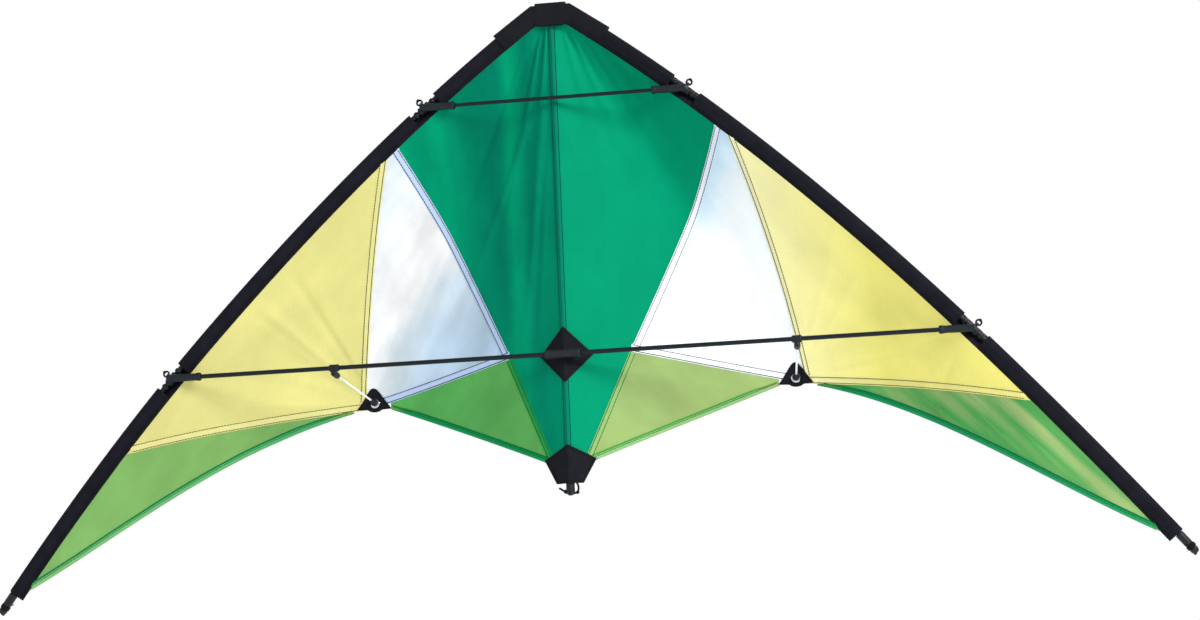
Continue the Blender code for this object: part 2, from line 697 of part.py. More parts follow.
def standoff_end(side):
    """Rubber end on the standoff: a collar in front of the eyelet and a nub through it."""
    along = standoff_line(side)[1]
    origin = eyelet_centre(side)
    flange_from, flange_to, flange_radius = FLANGE
    profile = [(-COLLAR_MOUTH, 0), (-COLLAR_MOUTH, COLLAR_RADIUS), (flange_from, COLLAR_RADIUS + SOFT),
               (flange_from, flange_radius), (flange_to, flange_radius), (flange_to, NUB_RADIUS),
               (NUB_NECK, NUB_RADIUS), (NUB_SHOULDER, NUB_HEAD), (NUB_LENGTH, NUB_RADIUS), (NUB_LENGTH, 0)]
    end = add_object(f"standoff_end_{side_name(side)}", turned(profile, origin, along, MOULDED_ROUND),
                     BLACK_RUBBER, origin)
    pocket = bar(-COLLAR_MOUTH - THROUGH, -COLLAR_FLOOR, STANDOFF_RADIUS + CLEARANCE)
    boolean(end, "DIFFERENCE", turned(pocket, origin, along))


EYELET_HOLE = 0.0026
EYELET_CREST = 0.0046       # radius where the rim stands highest
EYELET_FRONT = 0.0016
EYELET_BACK = 0.0014
EYELET_EDGE = 0.0010


def eyelet(side):
    profile = [(-EYELET_EDGE, EYELET_HOLE), (-EYELET_FRONT, EYELET_CREST), (-EYELET_EDGE, EYELET_RADIUS),
               (EYELET_EDGE, EYELET_RADIUS), (EYELET_BACK, EYELET_CREST), (EYELET_EDGE, EYELET_HOLE)]
    ring = turned(profile, eyelet_centre(side), standoff_line(side)[1], FINE_ROUND, ring=True)
    add_object(f"eyelet_{side_name(side)}", ring, STEEL, eyelet_centre(side))


def eyelet_hole(obj, side):
    hole = bar(-THROUGH, THROUGH, EYELET_RADIUS + CLEARANCE)
    boolean(obj, "DIFFERENCE", turned(hole, eyelet_centre(side), standoff_line(side)[1], FINE_ROUND))


BELLY_PATCH_BASE = 0.0092   # reach of its outline from the eyelet, before its corners
BELLY_PATCH_TOP = 0.0068    # added at the top corner
BELLY_PATCH_WING = 0.0100   # added at the side corners
BELLY_PATCH_LOBE = 0.0012
BELLY_PATCH_CORNER = 32.0   # degrees over which a side corner fades
BELLY_PATCH_HOLE = 0.0036
BELLY_PATCH_FORWARD = 0.0020


def belly_patch(side):
    """Reinforcement where the standoff meets the sail: a rounded triangle with a lobe below."""
    def reach(angle):
        rise = math.sin(angle)
        from_level = math.degrees(math.asin(abs(rise)))
        wing = BELLY_PATCH_WING * math.exp(-(from_level / BELLY_PATCH_CORNER) ** 2)
        top = BELLY_PATCH_TOP * max(0.0, rise) ** 3
        lobe = BELLY_PATCH_LOBE * max(0.0, -rise) ** 3
        return BELLY_PATCH_BASE + top + wing + lobe

    middle = (EYELET.x, NOSE_Z + EYELET.z)
    bm = pierced_sheet(reach, BELLY_PATCH_HOLE, middle, side, BELLY_PATCH_FORWARD)
    patch = add_object(f"belly_patch_{side_name(side)}", bm, BLACK_CLOTH, eyelet_centre(side))
    eyelet_hole(patch, side)


# ---------------------------------------------------------------- the sail
PANEL_SHARP = 60
CENTRE_TOP = 0.0240         # top of the centre panels, below the nose
CENTRE_TOP_AT = 0.004       # and the length along the leading edge it reaches
YELLOW_BLUNT = 0.004        # the yellow panel's upper corner is cut off by this length
ROWS_ABOVE_TEE = 12         # rows of facets above and below the notch for the centre tee
ROWS_BELOW_TEE = 4
ROWS_STOP = 0.02            # they stop this far from the tee's axis
CROWD_TO_TOP = 0.65         # below 1: columns crowd towards the far end of the panel
CROWD_TO_START = 1.9


def centre_panel(side):
    upper = list(np.linspace(NOSE_Z - CENTRE_TOP, ROWS_STOP, ROWS_ABOVE_TEE))
    notch = list(TEE_NOTCH * np.array((1.0, 0.6, 0.0, -0.6, -1.0)))
    heights = upper + notch + list(np.linspace(-ROWS_STOP, TAIL_CORNER[1], ROWS_BELOW_TEE)) + [TAIL_END[1]]
    count = len(heights) - 1
    seam_top = centre_seam(0)
    runs = ((seam_top, INNER_KNEE), (INNER_KNEE, TAIL_CORNER), (TAIL_CORNER, TAIL_END))

    def outer_line(z):
        if z > seam_top[1]:
            first = inner_edge(CENTRE_TOP_AT, SLEEVE_GAP)[1]
            share = max(0.0, (first - z) / (first - seam_top[1]))
            return between(CENTRE_TOP_AT, CENTRE_SEAM_AT, share)
        for a, b in runs:
            if b[1] <= z:
                return mix(a, b, (a[1] - z) / (a[1] - b[1]))[0] - SEAM_GAP, z
        return TAIL_END[0] - SEAM_GAP, TAIL_END[1]

    def surface(u, v):
        z = heights[round(u * count)]
        inner = (max(SEAM_GAP, math.sqrt(max(0.0, TEE_NOTCH ** 2 - z ** 2))), z)
        return mix(inner, outer_line(z), v)

    bm = sheet(surface, count, 5, side)
    add_object(f"centre_panel_{side_name(side)}", bm, DARK_GREEN, sharp=PANEL_SHARP)


def white_panel(side):
    def top(t):
        return between(CENTRE_SEAM_AT, YELLOW_SEAM_AT, t)

    surface = coons(top, shifted(knee_seam, 0, SEAM_GAP), shifted(centre_seam, SEAM_GAP, 0),
                    shifted(yellow_seam, -SEAM_GAP, 0))
    bm = sheet(surface, 7, 10, side, crowd=CROWD_TO_TOP)
    panel = add_object(f"white_panel_{side_name(side)}", bm, WHITE, sharp=PANEL_SHARP)
    eyelet_hole(panel, side)


def yellow_panel(side):
    def edge(t):
        return between(YELLOW_SEAM_AT + YELLOW_BLUNT, TIP_SEAM_AT - SLEEVE_GAP, t)

    start = shifted(yellow_seam, SEAM_GAP, 0)
    surface = coons(joining(start(0), edge(0)), shifted(tip_seam, SEAM_GAP, SEAM_GAP), start, edge)
    bm = sheet(surface, 8, 12, side, crowd=CROWD_TO_START)
    panel = add_object(f"yellow_panel_{side_name(side)}", bm, YELLOW, sharp=PANEL_SHARP)
    eyelet_hole(panel, side)


def tip_panel(side):
    skipped = (OUTER_TRAIL[0] - BELLY_CORNER[0]) / (inner_edge(TIP_SEAM_AT)[0] - BELLY_CORNER[0])

    def seam(t):
        x, z = tip_seam(skipped + (1 - skipped) * t)
        return x, z - SEAM_GAP

    def edge(t):
        return between(TIP_SEAM_AT + SLEEVE_GAP, TIP_PANEL_END, t)

    def trail(t):
        return bowed(OUTER_TRAIL, edge(1), t, OUTER_TRAIL_BOW * OUTER_TRAIL_SKEW * (1 - t))

    surface = coons(seam, trail, joining(seam(0), OUTER_TRAIL), edge)
    add_object(f"tip_panel_{side_name(side)}", sheet(surface, 12, 6, side), LIGHT_GREEN, sharp=PANEL_SHARP)


def inner_panel(side):
    skipped = (INNER_TRAIL[0] - INNER_KNEE[0]) / (BELLY_CORNER[0] - INNER_KNEE[0])
    tail = (TAIL_CORNER[0] + SEAM_GAP, TAIL_CORNER[1])

    def seam(t):
        x, z = knee_seam(skipped * (1 - t))
        return x + SEAM_GAP, z - SEAM_GAP

    def trail(t):
        return bowed(INNER_TRAIL, tail, t, INNER_TRAIL_BOW)

    surface = coons(seam, trail, joining(seam(0), INNER_TRAIL), joining(seam(1), tail))
    add_object(f"inner_panel_{side_name(side)}", sheet(surface, 9, 5, side), LIGHT_GREEN, sharp=PANEL_SHARP)


# ---------------------------------------------------------------- patches and nose cap
DIAMOND_ACROSS = 0.0305     # half its width and half its height
DIAMOND_UP = 0.0310
DIAMOND_HOLE = 0.0052
TAIL_PATCH_OUTLINE = (from_nose(0.0012, -0.4870), from_nose(0.0262, -0.5020), from_nose(0.0135, -0.5255))
CAP_ARM_END = 0.0485        # how far the nose cap's arms reach down the leading edges
CAP_TOP_HALF = 0.0222
CAP_INNER_CORNER = from_nose(0.0172, -0.0213)
CAP_OUTER = 0.0100          # an arm's end, outwards and inwards from the leading edge's axis
CAP_INNER = 0.0124
CAP_FRONT = 0.0058          # in front of the leading edges' axis
CAP_BACK = 0.0048           # behind the spine's axis
CAP_ROD_GAP = 0.0008        # above the top of the spine
CAP_BORE_STEP = 0.0101


def diamond_patch():
    def reach(angle):
        return DIAMOND_ACROSS * DIAMOND_UP / (
            DIAMOND_UP * abs(math.cos(angle)) + DIAMOND_ACROSS * abs(math.sin(angle)))

    bm = pierced_sheet(reach, DIAMOND_HOLE, (0.0, 0.0), 1, PATCH_FORWARD)
    add_object("diamond_patch", bm, BLACK_CLOTH)


def tail_patch():
    top, corner, foot = TAIL_PATCH_OUTLINE

    def surface(u, v):
        x, z = mix(top, corner, u * 2) if u < 0.5 else mix(corner, foot, u * 2 - 1)
        return (2 * v - 1) * x, z

    add_object("tail_patch", sheet(surface, 6, 6, 1, PATCH_THICKNESS, PATCH_FORWARD), BLACK_CLOTH)


def nose_cap():
    """Folded webbing over the upper ends of the spine and both leading edges."""
    inward = edge_axes(CAP_ARM_END)[1]
    tip = edge_point(CAP_ARM_END)
    outer = tip - inward * CAP_OUTER
    inner = tip + inward * CAP_INNER
    half = [(CAP_TOP_HALF, NOSE_Z), (outer.x, outer.z), (inner.x, inner.z), CAP_INNER_CORNER]
    outline = half + [(-x, z) for x, z in reversed(half)]
    bm = bmesh.new()
    front = [bm.verts.new((x, WING_Y - CAP_FRONT, z)) for x, z in outline]
    back = [bm.verts.new((x, SPINE_Y + CAP_BACK, z)) for x, z in outline]
    join_rings(bm, front, back)
    bm.faces.new(front)
    bm.faces.new(back)
    cap = add_object("nose_cap", bm, BLACK_CLOTH)
    bore = bar(0, THROUGH * 2, ROD_RADIUS + CLEARANCE)
    boolean(cap, "DIFFERENCE", turned(bore, (0, SPINE_Y, NOSE_Z - SPINE_TOP + CAP_ROD_GAP), (0, 0, -1)))
    for side in (-1, 1):
        stations = edge_stations(0.0, CAP_ARM_END + JOINT_WINDOW, side, CAP_BORE_STEP)
        centre, a, b = stations[0]
        ahead = (stations[1][0] - centre).normalized()
        stations.insert(0, (centre - ahead * CAP_ROD_GAP, a, b))
        boolean(cap, "DIFFERENCE", loft(stations, [circle(ROD_RADIUS + LOOSE)] * len(stations)))


# ---------------------------------------------------------------- assembly
def wing(side):
    leading_edge_rod(side)
    sleeve(side, "upper", SLEEVE_TOP, UPPER_JOINT_AT - JOINT_WINDOW)
    sleeve(side, "middle", UPPER_JOINT_AT + JOINT_WINDOW, LOWER_JOINT_AT - JOINT_WINDOW)
    sleeve(side, "lower", LOWER_JOINT_AT + JOINT_WINDOW, SLEEVE_END)
    for part, at, rod in (("upper", UPPER_JOINT_AT, THIN_ROD_RADIUS), ("lower", LOWER_JOINT_AT, ROD_RADIUS)):
        edge_connector(side, part, at, rod)
        bridle_loop(side, part, at)
        stopper(side, part, at - STOPPER_OFFSET, "above")
        stopper(side, part, at + STOPPER_OFFSET, "below")
    wing_tip(side)
    centre_panel(side)
    white_panel(side)
    yellow_panel(side)
    tip_panel(side)
    inner_panel(side)
    standoff_connector(side)
    standoff_rod(side)
    standoff_end(side)
    eyelet(side)
    belly_patch(side)


def main():
    clear_scene()
    spine_rod()
    spreader_rods()
    centre_tee()
    diamond_patch()
    tail_patch()
    tail_end()
    nose_cap()
    for side in (-1, 1):
        wing(side)


main()
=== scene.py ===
import json
import math

import bmesh
import bpy
import numpy as np
from mathutils import Matrix, Vector


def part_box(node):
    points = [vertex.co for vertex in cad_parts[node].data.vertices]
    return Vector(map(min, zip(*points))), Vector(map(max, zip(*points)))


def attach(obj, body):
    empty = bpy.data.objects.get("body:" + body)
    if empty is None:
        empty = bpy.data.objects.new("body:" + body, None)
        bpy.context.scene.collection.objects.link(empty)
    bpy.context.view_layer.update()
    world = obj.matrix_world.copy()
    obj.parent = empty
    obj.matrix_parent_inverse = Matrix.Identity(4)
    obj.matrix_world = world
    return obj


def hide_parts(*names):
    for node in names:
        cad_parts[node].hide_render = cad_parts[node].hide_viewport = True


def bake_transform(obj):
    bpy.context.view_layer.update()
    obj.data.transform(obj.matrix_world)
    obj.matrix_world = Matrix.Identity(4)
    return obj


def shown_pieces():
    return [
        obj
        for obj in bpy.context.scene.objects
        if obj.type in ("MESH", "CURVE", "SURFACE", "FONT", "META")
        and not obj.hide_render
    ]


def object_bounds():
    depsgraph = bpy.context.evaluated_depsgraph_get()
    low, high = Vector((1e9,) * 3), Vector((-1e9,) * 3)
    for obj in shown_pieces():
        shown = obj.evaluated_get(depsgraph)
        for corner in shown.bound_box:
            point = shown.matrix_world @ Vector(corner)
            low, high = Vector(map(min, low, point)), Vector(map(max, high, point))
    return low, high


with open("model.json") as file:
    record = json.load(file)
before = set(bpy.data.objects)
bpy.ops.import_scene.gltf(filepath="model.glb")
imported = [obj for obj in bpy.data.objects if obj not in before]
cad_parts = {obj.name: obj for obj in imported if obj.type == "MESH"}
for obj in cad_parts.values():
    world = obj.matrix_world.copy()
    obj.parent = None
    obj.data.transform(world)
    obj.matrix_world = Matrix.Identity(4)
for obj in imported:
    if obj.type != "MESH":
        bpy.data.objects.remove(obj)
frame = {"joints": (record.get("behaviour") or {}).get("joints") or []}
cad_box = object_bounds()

# ---- places taken from the frame
JOINTS = {joint["name"]: np.array(joint["pos_m"]) for joint in frame["joints"]}
UPPER_JOINT = JOINTS["upper_spreader_fold"] * (-1, 1, 1)
LOWER_JOINT = JOINTS["lower_spreader_right_fold"]
EYELET = JOINTS["standoff_right_fold"]
PIVOT = JOINTS["wing_right_fold"]
NOSE_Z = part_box("nose_cap")[1].z
TAIL_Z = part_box("tail_patch")[0].z
SPINE_LOW, SPINE_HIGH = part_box("spine_rod")
SPINE_Y = (SPINE_LOW.y + SPINE_HIGH.y) / 2
ROD_RADIUS = (SPINE_HIGH.x - SPINE_LOW.x) / 2
ROD_BORE = ROD_RADIUS + 0.0002
THIN_ROD_RADIUS = 0.002
STANDOFF_RADIUS = 0.0011
SPREADER_Y = LOWER_JOINT[1]
WING_Y = PIVOT[1]
SAIL_SPINE_Y = 0.0145
SIGN = {"left": -1, "right": 1}

# ---- the leading edge and the sail
EDGE_LENGTH = 0.905
EDGE_DROOP = (34.96, 28.18, -13.12)         # degrees below level, and how that grows with length
SWEEP_FROM = 0.5
SWEEP_RATE = 0.245
SLEEVE_INNER = 0.0126                       # from the rod's axis to the edge sewn to the sail
SLEEVE_OUTER = 0.0062
BELLY_DEPTH = 0.100
BELLY_SHARE = 0.6                           # share of the angle from the spine to the sleeve
BELLY_AT = 0.483                            # from the nose
BELLY_BLUNT = 0.05
SEAM_GAP = 0.0003
SLEEVE_GAP = 0.0002
SAIL_THICKNESS = 0.0004


def unit(vectors):
    return vectors / np.linalg.norm(vectors, axis=-1, keepdims=True)


def running_sum(steps):
    return np.concatenate(([0.0], np.cumsum(steps)))


def lengths_along(points):
    """Distance of each point of a line from its start."""
    return running_sum(np.linalg.norm(np.diff(points, axis=0), axis=1))


def sampled(at, stops, points):
    """Points of a line at any place between its stops."""
    return np.stack([np.interp(at, stops, column) for column in points.T], axis=-1)


def make_edge_table():
    s = np.linspace(0.0, EDGE_LENGTH, 363)
    angle = np.radians(EDGE_DROOP[0] + EDGE_DROOP[1] * s + EDGE_DROOP[2] * s * s)
    step = s[1] - s[0]
    across, down = (running_sum((f[1:] + f[:-1]) / 2 * step) for f in (np.cos(angle), np.sin(angle)))
    y = WING_Y + SWEEP_RATE * np.clip(s - SWEEP_FROM, 0.0, None) ** 2
    return s, np.stack([PIVOT[0] + across, y, PIVOT[2] - down], axis=-1)


EDGE_S, EDGE_POINTS = make_edge_table()
UPPER_AT, LOWER_AT = (
    float(np.interp(-joint[2], -EDGE_POINTS[:, 2], EDGE_S)) for joint in (UPPER_JOINT, LOWER_JOINT))


def edge_point(s):
    """Points on the axis of the leading edge at +X, at a length s from its upper end."""
    return sampled(s, EDGE_S, EDGE_POINTS)


def edge_axes(s):
    """Unit vectors along the edge, inwards across it, and forwards out of the sail."""
    half = 0.004
    along = unit(edge_point(np.minimum(EDGE_LENGTH, s + half)) - edge_point(np.maximum(0.0, s - half)))
    inward = unit(np.cross(along, (0.0, 1.0, 0.0)))
    inward = inward * np.where(inward[..., 2:] > 0, -1.0, 1.0)
    return along, inward, unit(np.cross(inward, along))


def flip(side):
    return np.array((SIGN[side], 1, 1))


def edge_frame(side, s):
    """A point on one wing's leading edge, with the directions along it and inwards."""
    return (part * flip(side) for part in (edge_point(s), *edge_axes(s)[:2]))


def inner_edge(s, beyond=0.0):
    """(x, z) of the line where the sleeve is sewn to the sail."""
    reach = np.asarray(SLEEVE_INNER + beyond)[..., None]
    return (edge_point(s) + edge_axes(s)[1] * reach)[..., [0, 2]]


def polar(x, z):
    """Distance from the nose, and angle from straight down."""
    return np.hypot(x, z - NOSE_Z), np.arctan2(x, NOSE_Z - z)


INNER_R, INNER_ANGLE = polar(*inner_edge(EDGE_S).T)
EDGE_R = polar(EDGE_POINTS[:, 0], EDGE_POINTS[:, 2])[0]


def sail_share(x, z):
    """Share of the angle from the spine (0) to the sleeve (1), seen from the nose."""
    radius, angle = polar(x, z)
    return np.clip(angle / np.interp(radius, INNER_R, INNER_ANGLE), 0.0, 1.0)


def smooth_step(t):
    t = np.clip(t, 0.0, 1.0)
    return t * t * (3 - 2 * t)


def belly(share):
    """Depth of the sail, 0 to 1: a smooth swell with a blunt ridge at the standoffs."""
    width = np.where(share < BELLY_SHARE, BELLY_SHARE, 1 - BELLY_SHARE)
    off = np.abs(share - BELLY_SHARE)
    swell = np.cos(math.pi / 2 * np.minimum(1.0, off / width))
    ridge = 1 - (np.hypot(off, BELLY_BLUNT) - BELLY_BLUNT) / (np.hypot(width, BELLY_BLUNT) - BELLY_BLUNT)
    return 0.5 * swell + 0.5 * ridge


# Creases fan out from the points that pull on the cloth. Each fan is: its centre (x from the
# spine, z from the nose), first and last direction in degrees from straight down towards the
# wing, number of creases, where they begin and end, their depth, and a seed.
FANS = {
    "left": (
        ((0.0, 0.030), 5, 52, 8, 0.06, 0.33, 0.0030, 11),
        ((0.004, -0.060), 2, 26, 5, 0.05, 0.36, 0.0026, 12),
        ((0.2405, -0.4175), 118, 205, 7, 0.03, 0.27, 0.0034, 13),
        ((0.2405, -0.4175), 62, 116, 5, 0.04, 0.20, 0.0020, 14),
        ((0.640, -0.628), 246, 292, 7, 0.04, 0.30, 0.0034, 15),
        ((0.449, -0.387), 250, 330, 5, 0.04, 0.17, 0.0014, 16),
    ),
    "right": (
        ((0.0, 0.030), 8, 50, 6, 0.06, 0.27, 0.0022, 21),
        ((0.2405, -0.4175), 130, 205, 5, 0.03, 0.25, 0.0015, 23),
        ((0.2405, -0.4175), 62, 112, 6, 0.04, 0.26, 0.0018, 24),
        ((0.640, -0.628), 246, 290, 8, 0.03, 0.36, 0.0042, 25),
        ((0.449, -0.387), 255, 330, 5, 0.04, 0.17, 0.0014, 26),
    ),
}


def fan_depth(x, z, fan):
    """Depth of one fan's creases: soft ridges and hollows that fade in and out along their length."""
    (cx, cz), first, last, count, begin, end, depth, seed = fan
    rng = np.random.default_rng(seed)
    dx, dz = x - cx, z - (NOSE_Z + cz)
    radius = np.hypot(dx, dz)
    angle = np.degrees(np.arctan2(dx, -dz)) % 360
    reach = smooth_step((radius - begin * 0.4) / begin) * smooth_step((end - radius) / (end * 0.5))
    spacing = (last - first) / count
    total = np.zeros_like(x)
    for k in range(count):
        middle = first + (k + rng.uniform(0.2, 0.8)) * spacing
        bend = rng.uniform(-0.35, 0.35) * spacing * radius / end
        width = spacing * rng.uniform(0.16, 0.34)
        off = (angle - middle - bend) / width
        total += depth * rng.uniform(-1.0, 1.0) * np.exp(-off ** 2) * reach
    return total


# ---- seam lines, wing at +X
CENTRE_SEAM_AT = 0.210                      # places along the leading edge
YELLOW_SEAM_AT = 0.2275
TIP_SEAM_AT = 0.670
TIP_PANEL_END = 0.868
CORNERS_FROM_NOSE = ((0.0675, -0.3840), (0.0150, -0.5085), (0.0125, -0.5240), (0.2515, -0.4250),
                     (0.2215, -0.4255), (0.2640, -0.4280))
INNER_KNEE, TAIL_CORNER, TAIL_END, BELLY_CORNER, INNER_TRAIL, OUTER_TRAIL = (
    np.array((x, NOSE_Z + z)) for x, z in CORNERS_FROM_NOSE)
YELLOW_SEAM_BOW = 0.006
TIP_SEAM_BOW = 0.004
OUTER_TRAIL_BOW = 0.0125
OUTER_TRAIL_SKEW = 27 / 16                  # the deepest point moves a third of the way from the belly
INNER_TRAIL_BOW = -0.0012


def mix(a, b, t):
    t = np.asarray(t, float)[..., None]
    return np.asarray(a) * (1 - t) + np.asarray(b) * t


def bowed(a, b, t, bow):
    """A line from a to b that bows to its left by the stated distance half way."""
    a, b = np.asarray(a), np.asarray(b)
    left = np.array((-(b - a)[1], (b - a)[0])) / np.linalg.norm(b - a)
    t = np.asarray(t, float)
    return mix(a, b, t) + (4 * bow * t * (1 - t))[..., None] * left


def centre_seam(t):
    return mix(inner_edge(CENTRE_SEAM_AT), INNER_KNEE, t)


def yellow_seam(t):
    return bowed(inner_edge(YELLOW_SEAM_AT), BELLY_CORNER, t, YELLOW_SEAM_BOW)


def knee_seam(t):
    return mix(INNER_KNEE, BELLY_CORNER, t)


def tip_seam(t):
    return bowed(BELLY_CORNER, inner_edge(TIP_SEAM_AT), t, TIP_SEAM_BOW)


def tail_seam(t):
    return mix(INNER_KNEE, TAIL_CORNER, t)


def outer_trailing_edge(t):
    bow = OUTER_TRAIL_BOW * OUTER_TRAIL_SKEW * (1 - np.asarray(t))
    return bowed(OUTER_TRAIL, inner_edge(TIP_PANEL_END, -0.002), t, bow)


def inner_trailing_edge(t):
    return bowed(INNER_TRAIL, TAIL_CORNER, t, INNER_TRAIL_BOW)


SEAMS = (centre_seam, yellow_seam, knee_seam, tip_seam, tail_seam)
PUCKER_DEPTH = 0.00022
PUCKER_REACH = 0.011
PUCKER_LENGTH = 0.013


def nearest_on(line, x, z):
    """Distance from points to a seam, and the distance along it."""
    samples = line(np.linspace(0, 1, 41))
    best = np.full(x.shape, np.inf)
    along = np.zeros(x.shape)
    for a, b, start in zip(samples, samples[1:], lengths_along(samples)):
        d = b - a
        t = np.clip(((x - a[0]) * d[0] + (z - a[1]) * d[1]) / (d @ d), 0, 1)
        gap = np.hypot(x - a[0] - d[0] * t, z - a[1] - d[1] * t)
        closer = gap < best
        best = np.where(closer, gap, best)
        along = np.where(closer, start + t * np.hypot(*d), along)
    return best, along


def pucker(x, z):
    """Thread tension gathers the cloth slightly along each seam."""
    total = np.zeros_like(x)
    for k, line in enumerate(SEAMS):
        gap, along = nearest_on(line, x, z)
        ripple = np.sin(2 * math.pi * along / PUCKER_LENGTH + 1.3 * np.sin(along * 83 + k))
        total += PUCKER_DEPTH * ripple * np.exp(-(gap / PUCKER_REACH) ** 2)
    return total


def sail_y(x, z, side):
    """The sail's mid surface: a cone from the nose, pushed back most at the standoffs, creased."""
    share = sail_share(x, z)
    radius = polar(x, z)[0]
    edge_y = np.interp(radius, EDGE_R, EDGE_POINTS[:, 1])
    y = WING_Y + (edge_y - WING_Y) * share ** 2 + (SAIL_SPINE_Y - WING_Y) * (1 - share) ** 2
    y = y + BELLY_DEPTH * np.minimum(1.0, radius / BELLY_AT) * belly(share)
    # Creases die away at the spine, at the sleeve and round the eyelet.
    held = smooth_step(np.minimum(share / 0.12, (1 - share) / 0.06))
    near_eyelet = np.hypot(x - EYELET[0], z - EYELET[2])
    held = held * (0.15 + 0.85 * smooth_step((near_eyelet - 0.012) / 0.03))
    creases = sum(fan_depth(x, z, fan) for fan in FANS[side])
    return y + held * creases + pucker(x, z) * smooth_step((near_eyelet - 0.015) / 0.02)


def on_sail(points, side, lift=0.0):
    """3-D points of (x, z) points laid on the sail; lift is towards the front."""
    x, z = points[..., 0], points[..., 1]
    return np.stack([x * SIGN[side], sail_y(x, z, side) - lift, z], axis=-1)


# ---- mesh building
ROUND = 32


def new_piece(name, shape, look, body=None, node=None, sharp=40):
    """A piece of (points, faces) in the row frame; it may ride a body and stand for a CAD node."""
    verts, faces = shape
    mesh = bpy.data.meshes.new(name)
    mesh.from_pydata(np.asarray(verts, float).tolist(), [], faces)
    bm = bmesh.new()
    bm.from_mesh(mesh)
    bmesh.ops.recalc_face_normals(bm, faces=bm.faces)
    bm.to_mesh(mesh)
    bm.free()
    obj = bpy.data.objects.new(name, mesh)
    bpy.context.scene.collection.objects.link(obj)
    mesh.materials.append(LOOKS[look])
    mesh.shade_smooth()
    mesh.set_sharp_from_angle(angle=math.radians(sharp))
    if body:
        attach(obj, body)
    if node:
        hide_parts(node)
    return obj


def joined(parts):
    """One list of points and faces from several."""
    verts, faces = [], []
    for part_verts, part_faces in parts:
        start = len(verts)
        verts.extend(np.asarray(part_verts).tolist())
        faces.extend([tuple(i + start for i in face) for face in part_faces])
    return verts, faces


def closed_sheet(front, back):
    """A closed solid between two (rows, columns, 3) grids of points."""
    rows, columns = front.shape[:2]
    count = rows * columns
    index = np.arange(count).reshape(rows, columns)
    quads = np.stack([index[:-1, :-1], index[1:, :-1], index[1:, 1:], index[:-1, 1:]], axis=-1)
    quads = quads.reshape(-1, 4)
    border = np.concatenate([index[:-1, 0], index[-1, :-1], index[:0:-1, -1], index[0, :0:-1]])
    after = np.roll(border, -1)
    rim = np.stack([border, after, after + count, border + count], axis=-1)
    faces = quads.tolist() + (quads[:, ::-1] + count).tolist() + rim[:, ::-1].tolist()
    return np.concatenate([front.reshape(-1, 3), back.reshape(-1, 3)]), faces


def rings_solid(rings, closed=False):
    """A solid through rings of points; the ends are capped unless it closes on itself."""
    count = len(rings[0])
    total = len(rings) * count
    faces = []
    for a in range(0, total if closed else total - count, count):
        b = (a + count) % total
        faces += [(a + k, a + n, b + n, b + k) for k, n in zip(range(count), [*range(1, count), 0])]
    if not closed:
        faces += [tuple(range(count - 1, -1, -1)), tuple(range(total - count, total))]
    return np.concatenate(rings), faces


def circle(a, b, count, swell=1.0):
    """Points of a unit circle in the plane of two vectors."""
    turn = np.linspace(0, 2 * math.pi, count, endpoint=False)
    return np.outer(np.cos(turn) * swell, a) + np.outer(np.sin(turn) * swell, b)


def crosswise(points, closed):
    """Two vectors across a line at each of its points, without sudden turns."""
    if closed:
        tangents = unit(np.roll(points, -1, axis=0) - np.roll(points, 1, axis=0))
    else:
        tangents = unit(np.gradient(points, axis=0))
    a = np.cross(tangents[0], (0.0, 1.0, 0.0) if abs(tangents[0][1]) < 0.9 else (1.0, 0.0, 0.0))
    pairs = []
    for t in tangents:
        a = unit(a - t * (a @ t))
        pairs.append((a, np.cross(t, a)))
    return pairs


def tube(points, radius, sides=ROUND, closed=False, lobes=0, lobe_depth=0.0, turns_per_m=0.0):
    """A round bar, or a laid cord whose strands turn along it."""
    points = np.asarray(points, float)
    radii = np.broadcast_to(radius, len(points))
    turn = np.linspace(0, 2 * math.pi, sides, endpoint=False)
    rings = []
    for point, (a, b), r, length in zip(points, crosswise(points, closed), radii, lengths_along(points)):
        swell = 1 + lobe_depth * np.cos(lobes * (turn + 2 * math.pi * turns_per_m * length))
        rings.append(point + r * circle(a, b, sides, swell))
    return rings_solid(rings, closed)


def cord(points, radius, closed=False):
    return tube(points, radius, 18, closed, lobes=3, lobe_depth=0.14, turns_per_m=260)


def rod(start, end, radius, rings=8):
    """A bar with softened ends."""
    start, end = np.asarray(start, float), np.asarray(end, float)
    along = unit(end - start)
    length = np.linalg.norm(end - start)
    soft = radius * 0.25
    ends = [0, soft * 0.3, soft]
    stops = [*ends, *np.linspace(0, length, rings + 1)[1:-1], *(length - end for end in reversed(ends))]
    slim, slimmer = radius - soft * 0.3, radius - soft
    radii = [slimmer, slim] + [radius] * (rings + 1) + [slim, slimmer]
    return tube([start + along * stop for stop in stops], radii)


def rounded(outline, radius, steps=4, closed=False):
    """A 2-D outline with each corner replaced by a short curve."""
    outline = [np.asarray(p, float) for p in outline]
    count = len(outline)
    result = [] if closed else [outline[0]]
    for k in range(count) if closed else range(1, count - 1):
        before, here, after = outline[k - 1], outline[k], outline[(k + 1) % count]
        a, b = (here + unit(side) * min(radius, np.linalg.norm(side) * 0.45)
                for side in (before - here, after - here))
        result += [(1 - t) ** 2 * a + 2 * t * (1 - t) * here + t * t * b
                   for t in np.linspace(0, 1, steps + 1)]
    return result if closed else result + [outline[-1]]


